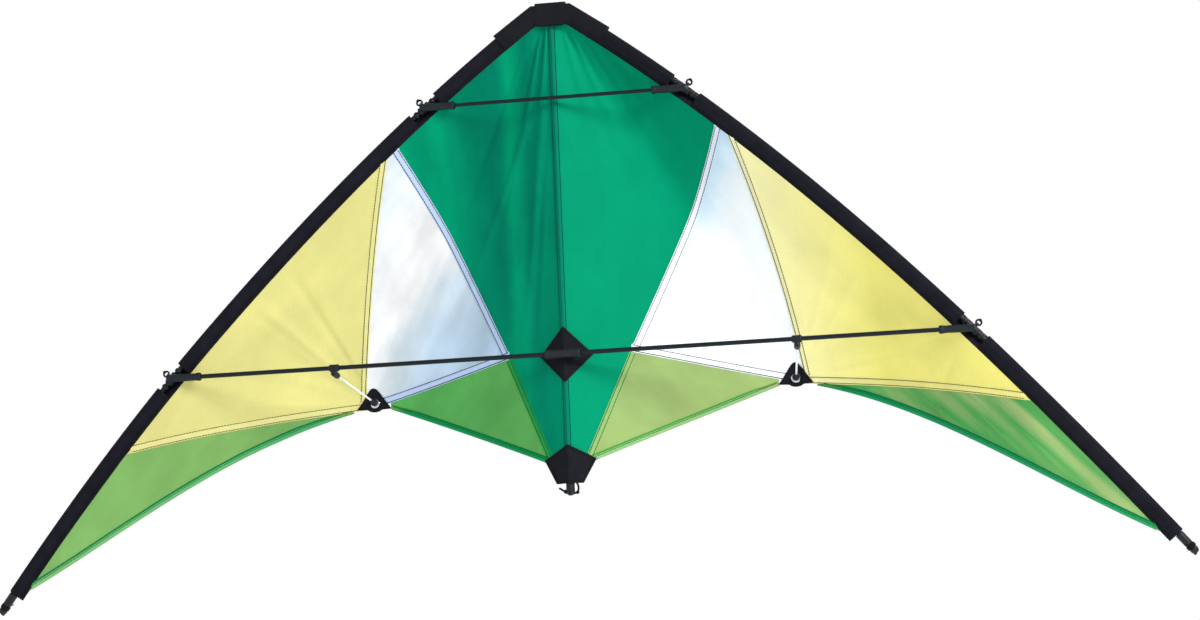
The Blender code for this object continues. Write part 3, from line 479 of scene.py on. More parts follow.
def turned(profile, origin, direction, soft=0.0004, ring=False, sides=ROUND):
    """Turn (distance along the axis, radius) points about an axis; a ring's profile closes."""
    origin, direction = np.asarray(origin, float), unit(np.asarray(direction, float))
    a = unit(np.cross(direction, (0.0, 0.0, 1.0) if abs(direction[2]) < 0.9 else (0.0, 1.0, 0.0)))
    around = circle(a, np.cross(direction, a), sides)
    profile = rounded(profile, soft, closed=ring)
    return rings_solid([origin + direction * d + around * max(r, 0.00005) for d, r in profile], ring)


def curve_through(points, per_span=8):
    """A smooth line through a few points."""
    points = [np.asarray(p, float) for p in points]
    extended = [2 * points[0] - points[1]] + points + [2 * points[-1] - points[-2]]
    result = []
    for p0, p1, p2, p3 in zip(extended, extended[1:], extended[2:], extended[3:]):
        for t in np.linspace(0, 1, per_span, endpoint=False):
            result.append(0.5 * (2 * p1 + (p2 - p0) * t + (2 * p0 - 5 * p1 + 4 * p2 - p3) * t ** 2
                                 + (3 * p1 - p0 - 3 * p2 + p3) * t ** 3))
    return np.array(result + [points[-1]])


def apply_modifiers(obj):
    shape = obj.evaluated_get(bpy.context.evaluated_depsgraph_get())
    mesh = bpy.data.meshes.new_from_object(shape)
    obj.modifiers.clear()
    old = obj.data
    obj.data = mesh
    bpy.data.meshes.remove(old)
    mesh.shade_smooth()


MELT_VOXEL = {"vinyl": 0.00035, "rubber": 0.0004}


def fused(name, parts, look, body=None, node=None):
    """Several overlapping solids melted into one moulded piece with soft inner corners."""
    obj = new_piece(name, joined(parts), look, body, node)
    remesh = obj.modifiers.new("Melt", "REMESH")
    remesh.mode = "VOXEL"
    remesh.voxel_size = MELT_VOXEL[look]
    soften = obj.modifiers.new("Soften", "SMOOTH")
    soften.iterations = 4
    soften.factor = 0.5
    apply_modifiers(obj)
    return obj


def carve(obj, tool):
    """Cuts one solid out of another."""
    cut = obj.modifiers.new("Cut", "BOOLEAN")
    cut.operation = "DIFFERENCE"
    cut.object = tool
    apply_modifiers(obj)
    bpy.data.objects.remove(tool, do_unlink=True)
    obj.data.set_sharp_from_angle(angle=math.radians(40))


def block(centre, a, b, sizes):
    """A box about a point with its sides along a, b and their cross product."""
    a, b = unit(np.asarray(a, float)), unit(np.asarray(b, float))
    axes = [axis * size for axis, size in zip((a, b, unit(np.cross(a, b))), sizes)]
    corners = [np.asarray(centre) + np.array((i, j, k)) @ axes
               for i in (-0.5, 0.5) for j in (-0.5, 0.5) for k in (-0.5, 0.5)]
    return corners, [(0, 1, 3, 2), (4, 6, 7, 5), (0, 4, 5, 1), (2, 3, 7, 6), (0, 2, 6, 4), (1, 5, 7, 3)]


# ---- materials
def add(tree, kind, inputs=None, **settings):
    """A shader node; each input is a plain value or another node's output."""
    node = tree.nodes.new("ShaderNode" + kind)
    for key, value in settings.items():
        setattr(node, key, value)
    for key, value in (inputs or {}).items():
        if isinstance(value, bpy.types.NodeSocket):
            tree.links.new(value, node.inputs[key])
        else:
            node.inputs[key].default_value = value
    return node


def maths(operation, *values, clamp=False):
    tree = next(v for v in values if isinstance(v, bpy.types.NodeSocket)).id_data
    return add(tree, "Math", dict(enumerate(values)), operation=operation, use_clamp=clamp).outputs[0]


def remap(value, low, high, to_low, to_high):
    inputs = {"Value": value, "From Min": low, "From Max": high, "To Min": to_low, "To Max": to_high}
    return add(value.id_data, "MapRange", inputs).outputs["Result"]


def noise(place, scale, detail=3.0, roughness=0.55):
    return add(place.id_data, "TexNoise", {
        "Vector": place, "Scale": scale, "Detail": detail, "Roughness": roughness}).outputs["Fac"]


def stretched(place, scale=(1.0, 1.0, 1.0), turn=0.0):
    """The place turned about the front-to-back axis, then scaled."""
    return add(place.id_data, "Mapping", {
        "Vector": place, "Rotation": (0.0, math.radians(turn), 0.0), "Scale": scale}).outputs["Vector"]


def split(place):
    return add(place.id_data, "SeparateXYZ", {"Vector": place}).outputs


def scaled_colour(colour, factor):
    return add(factor.id_data, "VectorMath", {0: colour, "Scale": factor}, operation="SCALE").outputs[0]


def bump(height, strength, distance, under=None):
    over = {"Normal": under} if under else {}
    return add(height.id_data, "Bump", {
        "Strength": strength, "Distance": distance, "Height": height, **over}).outputs["Normal"]


def new_look(name, slot):
    """A material, and each point's place in the kite at rest, so that a pattern stays on bent cloth."""
    look = bpy.data.materials.new(name)
    look.use_nodes = True
    look.node_tree.nodes.clear()
    look["slot"] = slot
    return look, add(look.node_tree, "Attribute", attribute_name="rest").outputs["Vector"]


def coat(look, colour, roughness, specular, normal, **more):
    """The surface of a look; returns its shader."""
    return add(look.node_tree, "BsdfPrincipled", {
        "Base Color": colour, "Roughness": roughness, "Specular IOR Level": specular, "Normal": normal,
        **more}).outputs["BSDF"]


def finished(look, shader):
    add(look.node_tree, "OutputMaterial", {"Surface": shader})
    return look


def weave(place, pitch):
    """Height of a plain weave, whose threads cross along X and Z."""
    threads = [add(place.id_data, "TexWave", {
        "Vector": place, "Scale": 0.314 / pitch, "Distortion": 0.6, "Detail": 1.0, "Detail Scale": 0.5},
        bands_direction=direction).outputs["Fac"] for direction in ("X", "Z")]
    return maths("MAXIMUM", *threads)


def ripstop(place, pitch=0.0045):
    """A faint grid of thicker threads."""
    lines = [remap(maths("PINGPONG", split(place)[axis], pitch / 2), 0.0, pitch * 0.08, 1.0, 0.0)
             for axis in ("X", "Z")]
    return maths("MAXIMUM", *lines, clamp=True)


def shaded_along(place, stops, axis, wander):
    """Colour that changes along a direction, from stops: distance past the nose, then the colour."""
    tree = place.id_data
    from_top = add(tree, "VectorMath", {0: place, 1: (0.0, 0.0, NOSE_Z)}, operation="SUBTRACT").outputs[0]
    distance = add(tree, "VectorMath", {0: from_top, 1: axis}, operation="DOT_PRODUCT").outputs["Value"]
    drift = remap(noise(place, 9.0, 4.0, 0.6), 0.0, 1.0, -wander, wander)
    low, high = stops[0][0], stops[-1][0]
    ramp = add(tree, "ValToRGB", {"Fac": remap(maths("ADD", distance, drift), low, high, 0.0, 1.0)})
    elements = ramp.color_ramp.elements
    while len(elements) < len(stops):
        elements.new(0.5)
    for element, (at, *colour) in zip(elements, stops):
        element.position = (at - low) / (high - low)
        element.color = (*colour, 1.0)
    return ramp.outputs["Color"]


def painted_fold_shade(place, depth, turn, both_sides):
    """Painted shade: soft streaks where the slack cloth turns from the light; upright ones are deeper on
    the -X side.
    """
    x, _, z = split(place)
    mirror = add(place.id_data, "CombineXYZ", {"X": maths("ABSOLUTE", x), "Y": x, "Z": z}).outputs["Vector"]
    run = stretched(mirror, turn=turn)
    streaks = noise(stretched(run, (34.0, 8.0, 5.0)), 1.0, 2.0, 0.5)
    blotches = noise(stretched(run, (16.0, 8.0, 11.0)), 1.0, 3.0, 0.6)
    both = maths("MULTIPLY", maths("ADD", streaks, blotches), 0.5)
    shade = remap(both, 0.38, 0.62, -depth, depth * 0.3)
    share = remap(x, -0.006, 0.006, 1.0, both_sides)
    return maths("ADD", maths("MULTIPLY", shade, share), 1.0)


COLOUR_A, COLOUR_B, COLOUR_RESULT = 6, 7, 2         # a Mix node's sockets for colours


def painted_tension_highlights(place, colour, pale):
    """Painted highlights: pale lines at the +X tip, where the cloth is pulled along the leading edge."""
    run = stretched(place, turn=45.0)
    fine = noise(stretched(run, (150.0, 8.0, 9.0)), 1.0, 3.0, 0.6)
    broad = noise(stretched(run, (42.0, 4.0, 4.0), 4.0), 1.0, 1.0, 0.5)
    lines = maths("ADD", remap(fine, 0.48, 0.66, 0.0, 0.30), remap(broad, 0.47, 0.62, 0.0, 0.75))
    strength = maths("MULTIPLY", lines, remap(split(place)["X"], 0.28, 0.40, 0.0, 1.0), clamp=True)
    colours = {0: strength, COLOUR_A: colour, COLOUR_B: (*pale, 1.0)}
    return add(place.id_data, "Mix", colours, data_type="RGBA").outputs[COLOUR_RESULT]


def sail_cloth(name, colour, slot, through=0.35, turn=0.0, spine_shadow=False, mottle=0.05, fold_shade=None,
               axis=(1.0, 0.0, 0.0), wander=0.0, pale=None):
    """Coated polyester: fine weave, faint grid, and light coming through it; its colour can carry painted
    shade of folds and a painted shadow of the spine.
    """
    look, place = new_look(name, slot)
    if isinstance(colour[0], tuple):
        colour = shaded_along(place, colour, axis, wander)
    # Painted highlights of tension lines at the +X tip.
    if pale:
        colour = painted_tension_highlights(place, colour, pale)
    cloth = stretched(place, turn=turn)
    grid = ripstop(cloth)
    fibres = noise(stretched(cloth, (900.0, 60.0, 260.0)), 1.0, 2.0)
    tone = maths("ADD", remap(noise(place, 11.0, 4.0), 0.3, 0.7, 1 - mottle, 1 + mottle),
                 remap(fibres, 0.3, 0.7, -0.018, 0.018))
    tone = maths("ADD", tone, maths("MULTIPLY", grid, -0.025))
    if spine_shadow:
        across = maths("ABSOLUTE", split(place)["X"])
        tone = maths("MULTIPLY", tone, remap(across, ROD_RADIUS * 0.7, ROD_RADIUS * 1.7, 0.62, 1.0))
    # Painted shade of folds.
    if fold_shade:
        tone = maths("MULTIPLY", tone, painted_fold_shade(place, *fold_shade))
    colour = scaled_colour(colour, tone)
    height = maths("ADD", weave(cloth, 0.00055), maths("MULTIPLY", grid, 0.8))
    normal = bump(noise(place, 55.0, 5.0, 0.6), 0.35, 0.0010, bump(height, 0.22, 0.00012))
    body = coat(look, colour, 0.62, 0.03, normal)
    glow = add(look.node_tree, "BsdfTranslucent", {"Color": colour, "Normal": normal}).outputs["BSDF"]
    mixed = add(look.node_tree, "MixShader", {0: through, 1: body, 2: glow})
    return finished(look, mixed.outputs["Shader"])


SHEEN = {"Sheen Weight": 0.03, "Sheen Roughness": 0.5, "Sheen Tint": (0.6, 0.6, 0.75, 1.0)}


def black_cloth(name, colour, slot, pitch=0.0011, raised_thread_pale=0.5):
    """Heavy black webbing or coated nylon, paler on the raised threads of its weave."""
    look, place = new_look(name, slot)
    threads = weave(stretched(place, turn=42.0), pitch)
    tone = maths("ADD", remap(noise(place, 60.0, 5.0), 0.35, 0.75, 0.8, 1.25),
                 remap(noise(place, 1400.0, 2.0), 0.3, 0.7, -0.2, 0.2))
    tone = maths("ADD", tone, maths("MULTIPLY", threads, 0.35 * raised_thread_pale))
    normal = bump(noise(place, 130.0, 4.0), 0.4, 0.0008, bump(threads, 0.5, 0.00025))
    return finished(look, coat(look, scaled_colour(colour, tone), 0.8, 0.05, normal, **SHEEN))


def moulded(name, colour, slot, roughness=0.45, grain=420.0, metallic=0.0, ridge_pale=0.25):
    """Vinyl, rubber, nylon or metal, with fine grain, patchy gloss, and paler on sharp ridges."""
    look, place = new_look(name, slot)
    patches = noise(place, grain * 0.18, 3.0)
    ridge = add(look.node_tree, "NewGeometry").outputs["Pointiness"]
    tone = maths("ADD", remap(patches, 0.3, 0.7, 0.88, 1.12), remap(ridge, 0.5, 0.62, 0.0, ridge_pale))
    gloss = remap(patches, 0.3, 0.7, roughness - 0.08, roughness + 0.1)
    return finished(look, coat(look, scaled_colour(colour, tone), gloss, 0.3 + 0.5 * metallic,
                               bump(noise(place, grain, 4.0), 0.25, 0.0001), Metallic=metallic))


def drawn_rod(name, colour, slot, roughness=0.3):
    """Pultruded rod: long fibres under a thin gloss, with fine scuffs."""
    look, place = new_look(name, slot)
    fibres = noise(stretched(place, (40.0, 2600.0, 2600.0)), 1.0, 2.0)
    gloss = remap(noise(place, 240.0, 5.0, 0.7), 0.4, 0.75, roughness, roughness + 0.3)
    return finished(look, coat(look, scaled_colour(colour, remap(fibres, 0.3, 0.7, 0.75, 1.3)), gloss, 0.25,
                               bump(fibres, 0.2, 0.00006)))


# Each stop of a colour ramp is a place across the sail and the red, green and blue painted there: the
# cloth's own colour with painted light and shade laid over it.
# Darker stripes across the -X half stand for folds turned from the light: painted shade. The +X half is
# even.
DARK_GREEN = (
    (-0.20, 0.0002, 0.38, 0.195), (-0.135, 0.0002, 0.375, 0.195), (-0.100, 0.0002, 0.285, 0.165),
    (-0.072, 0.0002, 0.265, 0.160), (-0.058, 0.0002, 0.39, 0.205), (-0.046, 0.0002, 0.36, 0.195),
    (-0.036, 0.0002, 0.285, 0.170), (-0.020, 0.0002, 0.31, 0.180), (-0.002, 0.0002, 0.34, 0.190),
    (0.004, 0.0002, 0.345, 0.182), (0.20, 0.0002, 0.345, 0.182))
# Pale blue and darker in a diagonal band across the panel: painted shade.
WHITE = (
    (-0.04, 0.78, 0.82, 0.85), (0.00, 0.88, 0.88, 0.88), (0.035, 0.90, 0.90, 0.90),
    (0.060, 0.72, 0.80, 0.86), (0.095, 0.58, 0.70, 0.81), (0.19, 0.50, 0.65, 0.81),
    (0.245, 0.70, 0.84, 0.93), (0.262, 0.86, 0.93, 0.97), (0.29, 0.95, 0.96, 0.97),
    (0.44, 0.93, 0.95, 0.97))
# Brighter on the +X side and palest near x = 0.2: painted light from the key.
YELLOW = ((-0.66, 0.77, 0.73, 0.30), (0.0, 0.77, 0.73, 0.30), (0.20, 1.0, 0.96, 0.62),
          (0.34, 0.90, 0.85, 0.29), (0.66, 0.92, 0.87, 0.29))
# Brighter on the +X inner panel than on the -X one, and brightened towards both tips: painted light and
# shade.
LIGHT_GREEN = (
    (-0.66, 0.27, 0.52, 0.17), (-0.50, 0.27, 0.52, 0.16), (-0.40, 0.27, 0.51, 0.155),
    (-0.25, 0.20, 0.46, 0.135), (-0.22, 0.13, 0.49, 0.135), (-0.02, 0.16, 0.50, 0.14),
    (0.02, 0.38, 0.515, 0.195), (0.22, 0.38, 0.515, 0.195), (0.26, 0.08, 0.43, 0.10),
    (0.38, 0.09, 0.44, 0.11), (0.50, 0.12, 0.47, 0.13), (0.66, 0.25, 0.56, 0.18))
# Darker on the -X side and lighter on the +X side, the white band also bluer on the -X side: painted shade
# and light.
WHITE_BAND = ((-0.25, 0.52, 0.64, 0.88), (-0.05, 0.50, 0.62, 0.85), (0.05, 0.92, 0.94, 0.98),
              (0.25, 0.80, 0.85, 0.96))
GREEN_BAND = ((-0.10, 0.02, 0.33, 0.075), (-0.01, 0.02, 0.33, 0.075), (0.01, 0.27, 0.45, 0.16),
              (0.10, 0.27, 0.45, 0.16))
# Lighter towards the -X tip of the outer hem and on the +X side of the inner hem, darker elsewhere: painted
# light and shade.
OUTER_HEM = ((-0.64, 0.22, 0.48, 0.18), (-0.26, 0.05, 0.36, 0.12), (0.26, 0.006, 0.30, 0.10),
             (0.64, 0.03, 0.36, 0.12))
INNER_HEM = ((-0.24, 0.006, 0.30, 0.085), (-0.01, 0.006, 0.30, 0.085), (0.01, 0.24, 0.44, 0.18),
             (0.24, 0.24, 0.44, 0.18))
# A narrow dark band along the hem's folded inner edge: painted shadow of the fold.
HEM_FOLD_SHADOW = (
    (-0.64, 0.006, 0.20, 0.06), (-0.01, 0.004, 0.16, 0.05), (0.01, 0.05, 0.30, 0.04),
    (0.22, 0.05, 0.30, 0.04), (0.26, 0.004, 0.16, 0.06), (0.64, 0.004, 0.16, 0.06))

LOOKS = {
    "dark_green": sail_cloth("dark_green_cloth", DARK_GREEN, "sail_dark_green", spine_shadow=True,
                             fold_shade=(0.20, 0.0, 0.2), wander=0.016),
    "white": sail_cloth("white_cloth", WHITE, "sail_white", 0.30, 24.0,
                        fold_shade=(0.16, 36.0, 0.3), axis=(0.8, 0.0, -0.6), wander=0.045),
    "yellow": sail_cloth("yellow_cloth", YELLOW, "sail_yellow", 0.35, -18.0, mottle=0.03,
                         fold_shade=(0.06, 48.0, 1.0)),
    "light_green": sail_cloth("light_green_cloth", LIGHT_GREEN, "sail_light_green", 0.38, 31.0,
                              fold_shade=(0.13, 48.0, 1.0), pale=(0.50, 0.62, 0.27)),
    "white_band": sail_cloth("white_double_cloth", WHITE_BAND, "sail_white", 0.15, 24.0),
    "yellow_band": sail_cloth("yellow_double_cloth", YELLOW, "sail_yellow", 0.20, -18.0),
    "green_band": sail_cloth("green_double_cloth", GREEN_BAND, "sail_light_green", 0.15, 31.0),
    "spine_band": sail_cloth("spine_double_cloth", (0.0005, 0.30, 0.18), "sail_dark_green", 0.15,
                             spine_shadow=True),
    "outer_hem": sail_cloth("outer_hem_cloth", OUTER_HEM, "sail_light_green", 0.12, 31.0),
    "inner_hem": sail_cloth("inner_hem_cloth", INNER_HEM, "sail_light_green", 0.12, 31.0),
    "hem_fold": sail_cloth("hem_fold_cloth", HEM_FOLD_SHADOW, "sail_light_green", 0.10, 31.0),
    "thread": black_cloth("dark_thread", (0.003, 0.026, 0.026), "cord", 0.0004),
    "green_thread": black_cloth("green_thread", (0.010, 0.120, 0.018), "cord", 0.0004),
    "olive_thread": black_cloth("olive_thread", (0.030, 0.050, 0.008), "cord", 0.0004),
    "brown_thread": black_cloth("brown_thread", (0.085, 0.070, 0.012), "cord", 0.0004),
    "sleeve": black_cloth("sleeve_cloth", (0.0080, 0.0080, 0.0120), "sleeve_cloth"),
    "webbing": black_cloth("webbing", (0.0078, 0.0082, 0.0105), "sleeve_cloth", 0.0018, 0.8),
    "cord": black_cloth("braided_cord", (0.007, 0.008, 0.010), "cord", 0.0005),
    "vinyl": moulded("black_vinyl", (0.004, 0.008, 0.012), "vinyl", 0.52),
    "rubber": moulded("black_rubber", (0.007, 0.009, 0.012), "vinyl", 0.6),
    "nylon": moulded("black_nylon", (0.004, 0.005, 0.007), "nock_plastic", 0.45),
    "steel": moulded("eyelet_steel", (0.60, 0.60, 0.62), "eyelet_steel", 0.24, 600.0, 1.0, 0.1),
    "carbon": drawn_rod("carbon_rod", (0.003, 0.007, 0.010), "rod"),
    "white_rod": drawn_rod("white_rod", (0.80, 0.82, 0.84), "white_rod"),
}


# ---- baking pieces in place, and their places at rest
def follow_sail(piece):
    """Bakes the piece's place into its mesh."""
    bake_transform(piece)


def keep_rest_places():
    """Stores each point's place at rest on its mesh, for the materials."""
    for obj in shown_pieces():
        points = np.array([obj.matrix_world @ v.co for v in obj.data.vertices], np.float32)
        place = obj.data.attributes.new("rest", "FLOAT_VECTOR", "POINT")
        place.data.foreach_set("vector", points.ravel())


# ---- the sail's panels
CLOTH_STEP = 0.0035                         # between neighbouring points of the cloth's grid


def spaced(length, step=CLOTH_STEP):
    return max(2, math.ceil(length / step))


def line_length(line):
    return float(lengths_along(line(np.linspace(0, 1, 30)))[-1])


def coons(top, bottom, start, end):
    """A grid of (x, z) points between four edge lines."""
    columns, rows = (spaced(max(line_length(a), line_length(b))) for a, b in ((top, bottom), (start, end)))
    u, v = np.linspace(0, 1, columns + 1), np.linspace(0, 1, rows + 1)
    tops, bottoms, starts, ends = top(u)[:, None], bottom(u)[:, None], start(v)[None], end(v)[None]
    u, v = u[:, None, None], v[None, :, None]
    corners = (1 - u) * (1 - v) * tops[:1] + u * (1 - v) * tops[-1:]
    corners = corners + (1 - u) * v * bottoms[:1] + u * v * bottoms[-1:]
    return (1 - v) * tops + v * bottoms + (1 - u) * starts + u * ends - corners


def cloth_piece(name, grid, side, look, node=None, thickness=SAIL_THICKNESS):
    """A closed sheet of cloth on a grid of (x, z) points; its thickness may vary over it."""
    middle = on_sail(grid, side)
    half = np.zeros_like(middle)
    half[..., 1] = np.broadcast_to(thickness, grid.shape[:2]) / 2
    piece = new_piece(f"{name}_{side}", closed_sheet(middle - half, middle + half), look,
                      node=node and f"{node}_{side}", sharp=70)
    follow_sail(piece)


def between(start, end):
    return lambda t: mix(start, end, t)


def part_of(line, start, end, dx=0.0, dz=0.0):
    """A share of a line, moved a little."""
    return lambda t: line(start + (end - start) * np.asarray(t)) + np.array((dx, dz))


def sleeve_side(start, end):
    """The edge of a panel that is sewn into the sleeve."""
    return lambda t: inner_edge(start + (end - start) * t, SLEEVE_GAP)


def centre_grid():
    """Rows across the dark panel, from the spine out to the sleeve or the seam."""
    notch = 0.0046                          # radius of the hole for the centre tee
    columns = 45
    spans = ((NOSE_Z - 0.0205, 0.006, 105), (0.0048, -0.0048, 9), (-0.006, TAIL_END[1], 38))
    heights = np.concatenate([np.linspace(*span) for span in spans])
    start = 0.004
    seam_top, first = centre_seam(0), inner_edge(start)
    edge_share = np.clip((first[1] - heights) / (first[1] - seam_top[1]), 0, 1)
    on_edge = inner_edge(start + (CENTRE_SEAM_AT - start) * edge_share)
    turns = np.array([TAIL_END, TAIL_CORNER, INNER_KNEE, seam_top])
    on_seam = np.stack([np.interp(heights, turns[:, 1], turns[:, 0]), heights], axis=-1)
    outer = np.where((heights > seam_top[1])[:, None], on_edge, on_seam)
    inner_x = np.maximum(SEAM_GAP, np.sqrt(np.maximum(0.0, notch ** 2 - heights ** 2)))
    inner = np.stack([inner_x, heights], axis=-1)
    return mix(inner[:, None], outer[:, None], np.linspace(0, 1, columns + 1)[None])


def share_along(line_start, line_end, x):
    return (x - line_start[0]) / (line_end[0] - line_start[0])


def panels(side):
    outer = sleeve_side(YELLOW_SEAM_AT + 0.001, TIP_SEAM_AT)
    tip_share = share_along(BELLY_CORNER, inner_edge(TIP_SEAM_AT), OUTER_TRAIL[0])
    tip_top = part_of(tip_seam, tip_share, 1, 0, -SEAM_GAP)
    knee_share = share_along(INNER_KNEE, BELLY_CORNER, INNER_TRAIL[0])
    inner_top = part_of(knee_seam, knee_share, 0, 0, -SEAM_GAP)

    def tip_edge(t):
        return inner_edge(TIP_SEAM_AT + (TIP_PANEL_END - TIP_SEAM_AT) * t, -0.002 * t)

    edges = (
        ("white_cloth", "white", sleeve_side(CENTRE_SEAM_AT, YELLOW_SEAM_AT),
         part_of(knee_seam, 0, 1, 0, SEAM_GAP), part_of(centre_seam, 0, 1, SEAM_GAP),
         part_of(yellow_seam, 0, 1, -SEAM_GAP)),
        ("yellow_cloth", "yellow", between(yellow_seam(0) + (SEAM_GAP, 0), outer(0)),
         part_of(tip_seam, 0, 1, 0, SEAM_GAP), part_of(yellow_seam, 0, 1, SEAM_GAP), outer),
        ("light_green_tip", "tip", tip_top, outer_trailing_edge, between(tip_top(0), OUTER_TRAIL),
         tip_edge),
        ("light_green_inner", "inner", inner_top, inner_trailing_edge, between(inner_top(0), INNER_TRAIL),
         between(inner_top(1), TAIL_CORNER)),
    )
    cloth_piece("dark_green_panel", centre_grid(), side, "dark_green", "centre_panel")
    for name, node, *lines in edges:
        look = node if node in LOOKS else "light_green"
        cloth_piece(f"{name}_panel", coons(*lines), side, look, f"{node}_panel")


# ---- seams, hems and stitches
BAND_THICKNESS = 0.0011
STITCH_LENGTH = 0.0024
STITCH_PITCH = 0.0031
STITCH_ARCH = np.sin(math.pi * np.linspace(0.06, 0.94, 4))
THREAD_RADIUS = 0.00042
FINE_THREAD = THREAD_RADIUS * 0.8
HEM_TAPER = 0.16                # share of its length over which a hem reaches its full width
TUCKED = 0.975                  # a hem or seam stops short, under the patch or sleeve it runs into


def offset_line(line, distance, count):
    """(x, z) points at a distance to the left of a line."""
    points = line(np.linspace(0, 1, count))
    along = unit(np.gradient(points, axis=0))
    return points + np.stack([-along[:, 1], along[:, 0]], axis=-1) * distance


def band(name, line, side, look, low, high, thickness=BAND_THICKNESS, below=None):
    """Folded cloth along a seam, thinner towards its two edges, and tucked under another seam."""
    count = spaced(line_length(line)) + 1
    across = np.linspace(0, 1, 7)
    grid = np.stack([offset_line(line, low + (high - low) * a, count) for a in across], axis=1)
    if below:
        grow = smooth_step(np.linspace(0, 1, count) / HEM_TAPER)[:, None, None]
        outer = grid[:, :1] if low > -0.001 else grid[:, -1:]
        grid = outer + (grid - outer) * (0.05 + 0.95 * grow)
        other = below(np.linspace(0, 1, 60))
        grid[..., 1] = np.minimum(grid[..., 1], np.interp(grid[..., 0], other[:, 0], other[:, 1]) - 0.0004)
    swell = 0.62 + 0.38 * np.sin(math.pi * across) ** 0.5
    cloth_piece(name, grid, side, look, thickness=thickness * swell)


def stitch_places(start, end, stitch=STITCH_LENGTH):
    """Four distances along each stitch of a row."""
    return np.arange(start, end, STITCH_PITCH)[:, None] + stitch * np.linspace(0, 1, 4)


def thread(name, stitches, look="cord", body=None, side=None, radius=FINE_THREAD):
    """Short raised lengths of thread, on one body or on the sail."""
    piece = new_piece(name, joined([tube(points, radius, 6) for points in stitches]), look, body, sharp=80)
    if side:
        follow_sail(piece)


def stitch_row(line, distance, side, lift, dashed=True):
    """Stitches at a distance to the left of a line."""
    path = offset_line(line, distance, spaced(line_length(line), 0.001) + 1)
    steps = lengths_along(path)
    stitch = STITCH_LENGTH if dashed else STITCH_PITCH * 0.97
    at = stitch_places(STITCH_PITCH / 2, steps[-1] - STITCH_PITCH, stitch)
    return [*on_sail(sampled(at, steps, path), side, lift + 0.0003 * STITCH_ARCH)]


def seams(side):
    """Each seam allowance is folded to one side and sewn down with two rows; a hem with one."""
    lift = BAND_THICKNESS * 0.40
    plan = (
        ("centre_seam", centre_seam, 0.0078, "white_band", "thread", True),
        ("yellow_seam", yellow_seam, 0.0066, "yellow_band", "olive_thread", False),
        ("knee_seam", knee_seam, 0.0082, "white_band", "thread", False),
        ("tip_seam", tip_seam, 0.0080, "yellow_band", "brown_thread", True),
        ("tail_seam", tail_seam, 0.0064, "green_band", "green_thread", False),
    )
    for name, whole, width, look, colour, dashed in plan:
        line = part_of(whole, 0, TUCKED)
        band(f"{name}_band", line, side, look, -0.0004, width)
        rows = stitch_row(line, 0.0009, side, lift, dashed) + stitch_row(line, width - 0.0011, side, lift)
        thread(f"{name}_stitches_{side}", rows, colour, side=side, radius=THREAD_RADIUS)
    hems = (
        ("outer_hem", outer_trailing_edge, 0.0058, 1, tip_seam),
        ("inner_hem", inner_trailing_edge, 0.0060, -1, knee_seam),
    )
    for name, whole, width, inside, seam in hems:
        line = part_of(whole, 0, TUCKED)
        # The second layer is a narrow dark band along the hem's inner edge: painted shadow of the fold.
        layers = ((name, name, -0.0004, width, 0.0013),
                  (f"{name}_fold", "hem_fold", width - 0.0016, width + 0.0004, 0.0017))
        for layer, look, edge, far, thickness in layers:
            band(layer, line, side, look, *sorted((edge * inside, far * inside)), thickness, seam)
        row = stitch_row(line, (width - 0.0026) * inside, side, lift)
        thread(f"{name}_stitches_{side}", row, "green_thread", side=side, radius=THREAD_RADIUS)


def spine_strip():
    """Doubled cloth down the middle, sewn on both sides of the spine."""
    half = 0.0040
    z = np.linspace(NOSE_Z - 0.018, TAIL_END[1] + 0.004, 150)
    for side in SIGN:
        grid = np.stack(np.broadcast_arrays(np.linspace(0.0, half, 5), z[:, None]), axis=-1)
        cloth_piece("spine_strip", grid, side, "spine_band", thickness=0.0010)
        row = stitch_row(between((0.0, z[0]), (0.0, z[-1])), half - 0.0007, side, 0.0005)
        thread(f"spine_strip_stitches_{side}", row, "thread", side=side, radius=THREAD_RADIUS)


# ---- sleeves
JOINT_WINDOW = 0.018                        # half of the gap in the sleeve at a connector
SLEEVE_TOP = 0.030
SLEEVE_END = 0.8768
THREAD_TOP = 0.052                          # the nose webbing covers the stitches above this
SLEEVE_ROUND = 0.0046
SLEEVE_HEIGHT = 0.0040
BRIDGE_PATH = ((-0.0044, -0.0052), (-0.0024, -0.0057), (0.0028, -0.0056), (0.0058, -0.0042),
               (0.0090, -0.0016), (SLEEVE_INNER + 0.0002, -0.0003))


def sleeve(name, side, start, end):
    """A sock of cloth: round over the rod, flat towards the seam, closed on the rod at its end."""
    s = np.linspace(start, end, spaced(end - start, 0.006) + 1)
    along, inward, forward = edge_axes(s)
    turn = np.linspace(0, 2 * math.pi, 36, endpoint=False)
    c = np.cos(turn)
    reach = np.where(c > 0, SLEEVE_INNER - SLEEVE_ROUND + 0.0002, SLEEVE_OUTER - SLEEVE_ROUND)
    across = SLEEVE_ROUND * c + reach * np.abs(c) ** 3 * np.sign(c)
    rise = SLEEVE_HEIGHT * np.sin(turn) * (1 - 0.35 * np.clip(c, 0, None) ** 2)
    ripple = 0.035 * np.sin(s * 190 + 2 * np.sin(s * 47))[:, None] * np.clip(across / SLEEVE_INNER, 0, 1)
    rings = (edge_point(s)[:, None] + across[:, None] * inward[:, None]
             + (rise * (1 + ripple))[..., None] * forward[:, None])
    bore = edge_point(s[-1]) + (ROD_RADIUS + 0.0003) * circle(inward[-1], forward[-1], len(turn))
    rings = [ring * flip(side) for ring in (*rings, bore, bore - 0.010 * along[-1])]
    new_piece(f"{name}_sleeve_{side}", rings_solid(rings), "sleeve", f"wing_{side}",
              f"edge_sleeve_{name}_{side}", sharp=60)


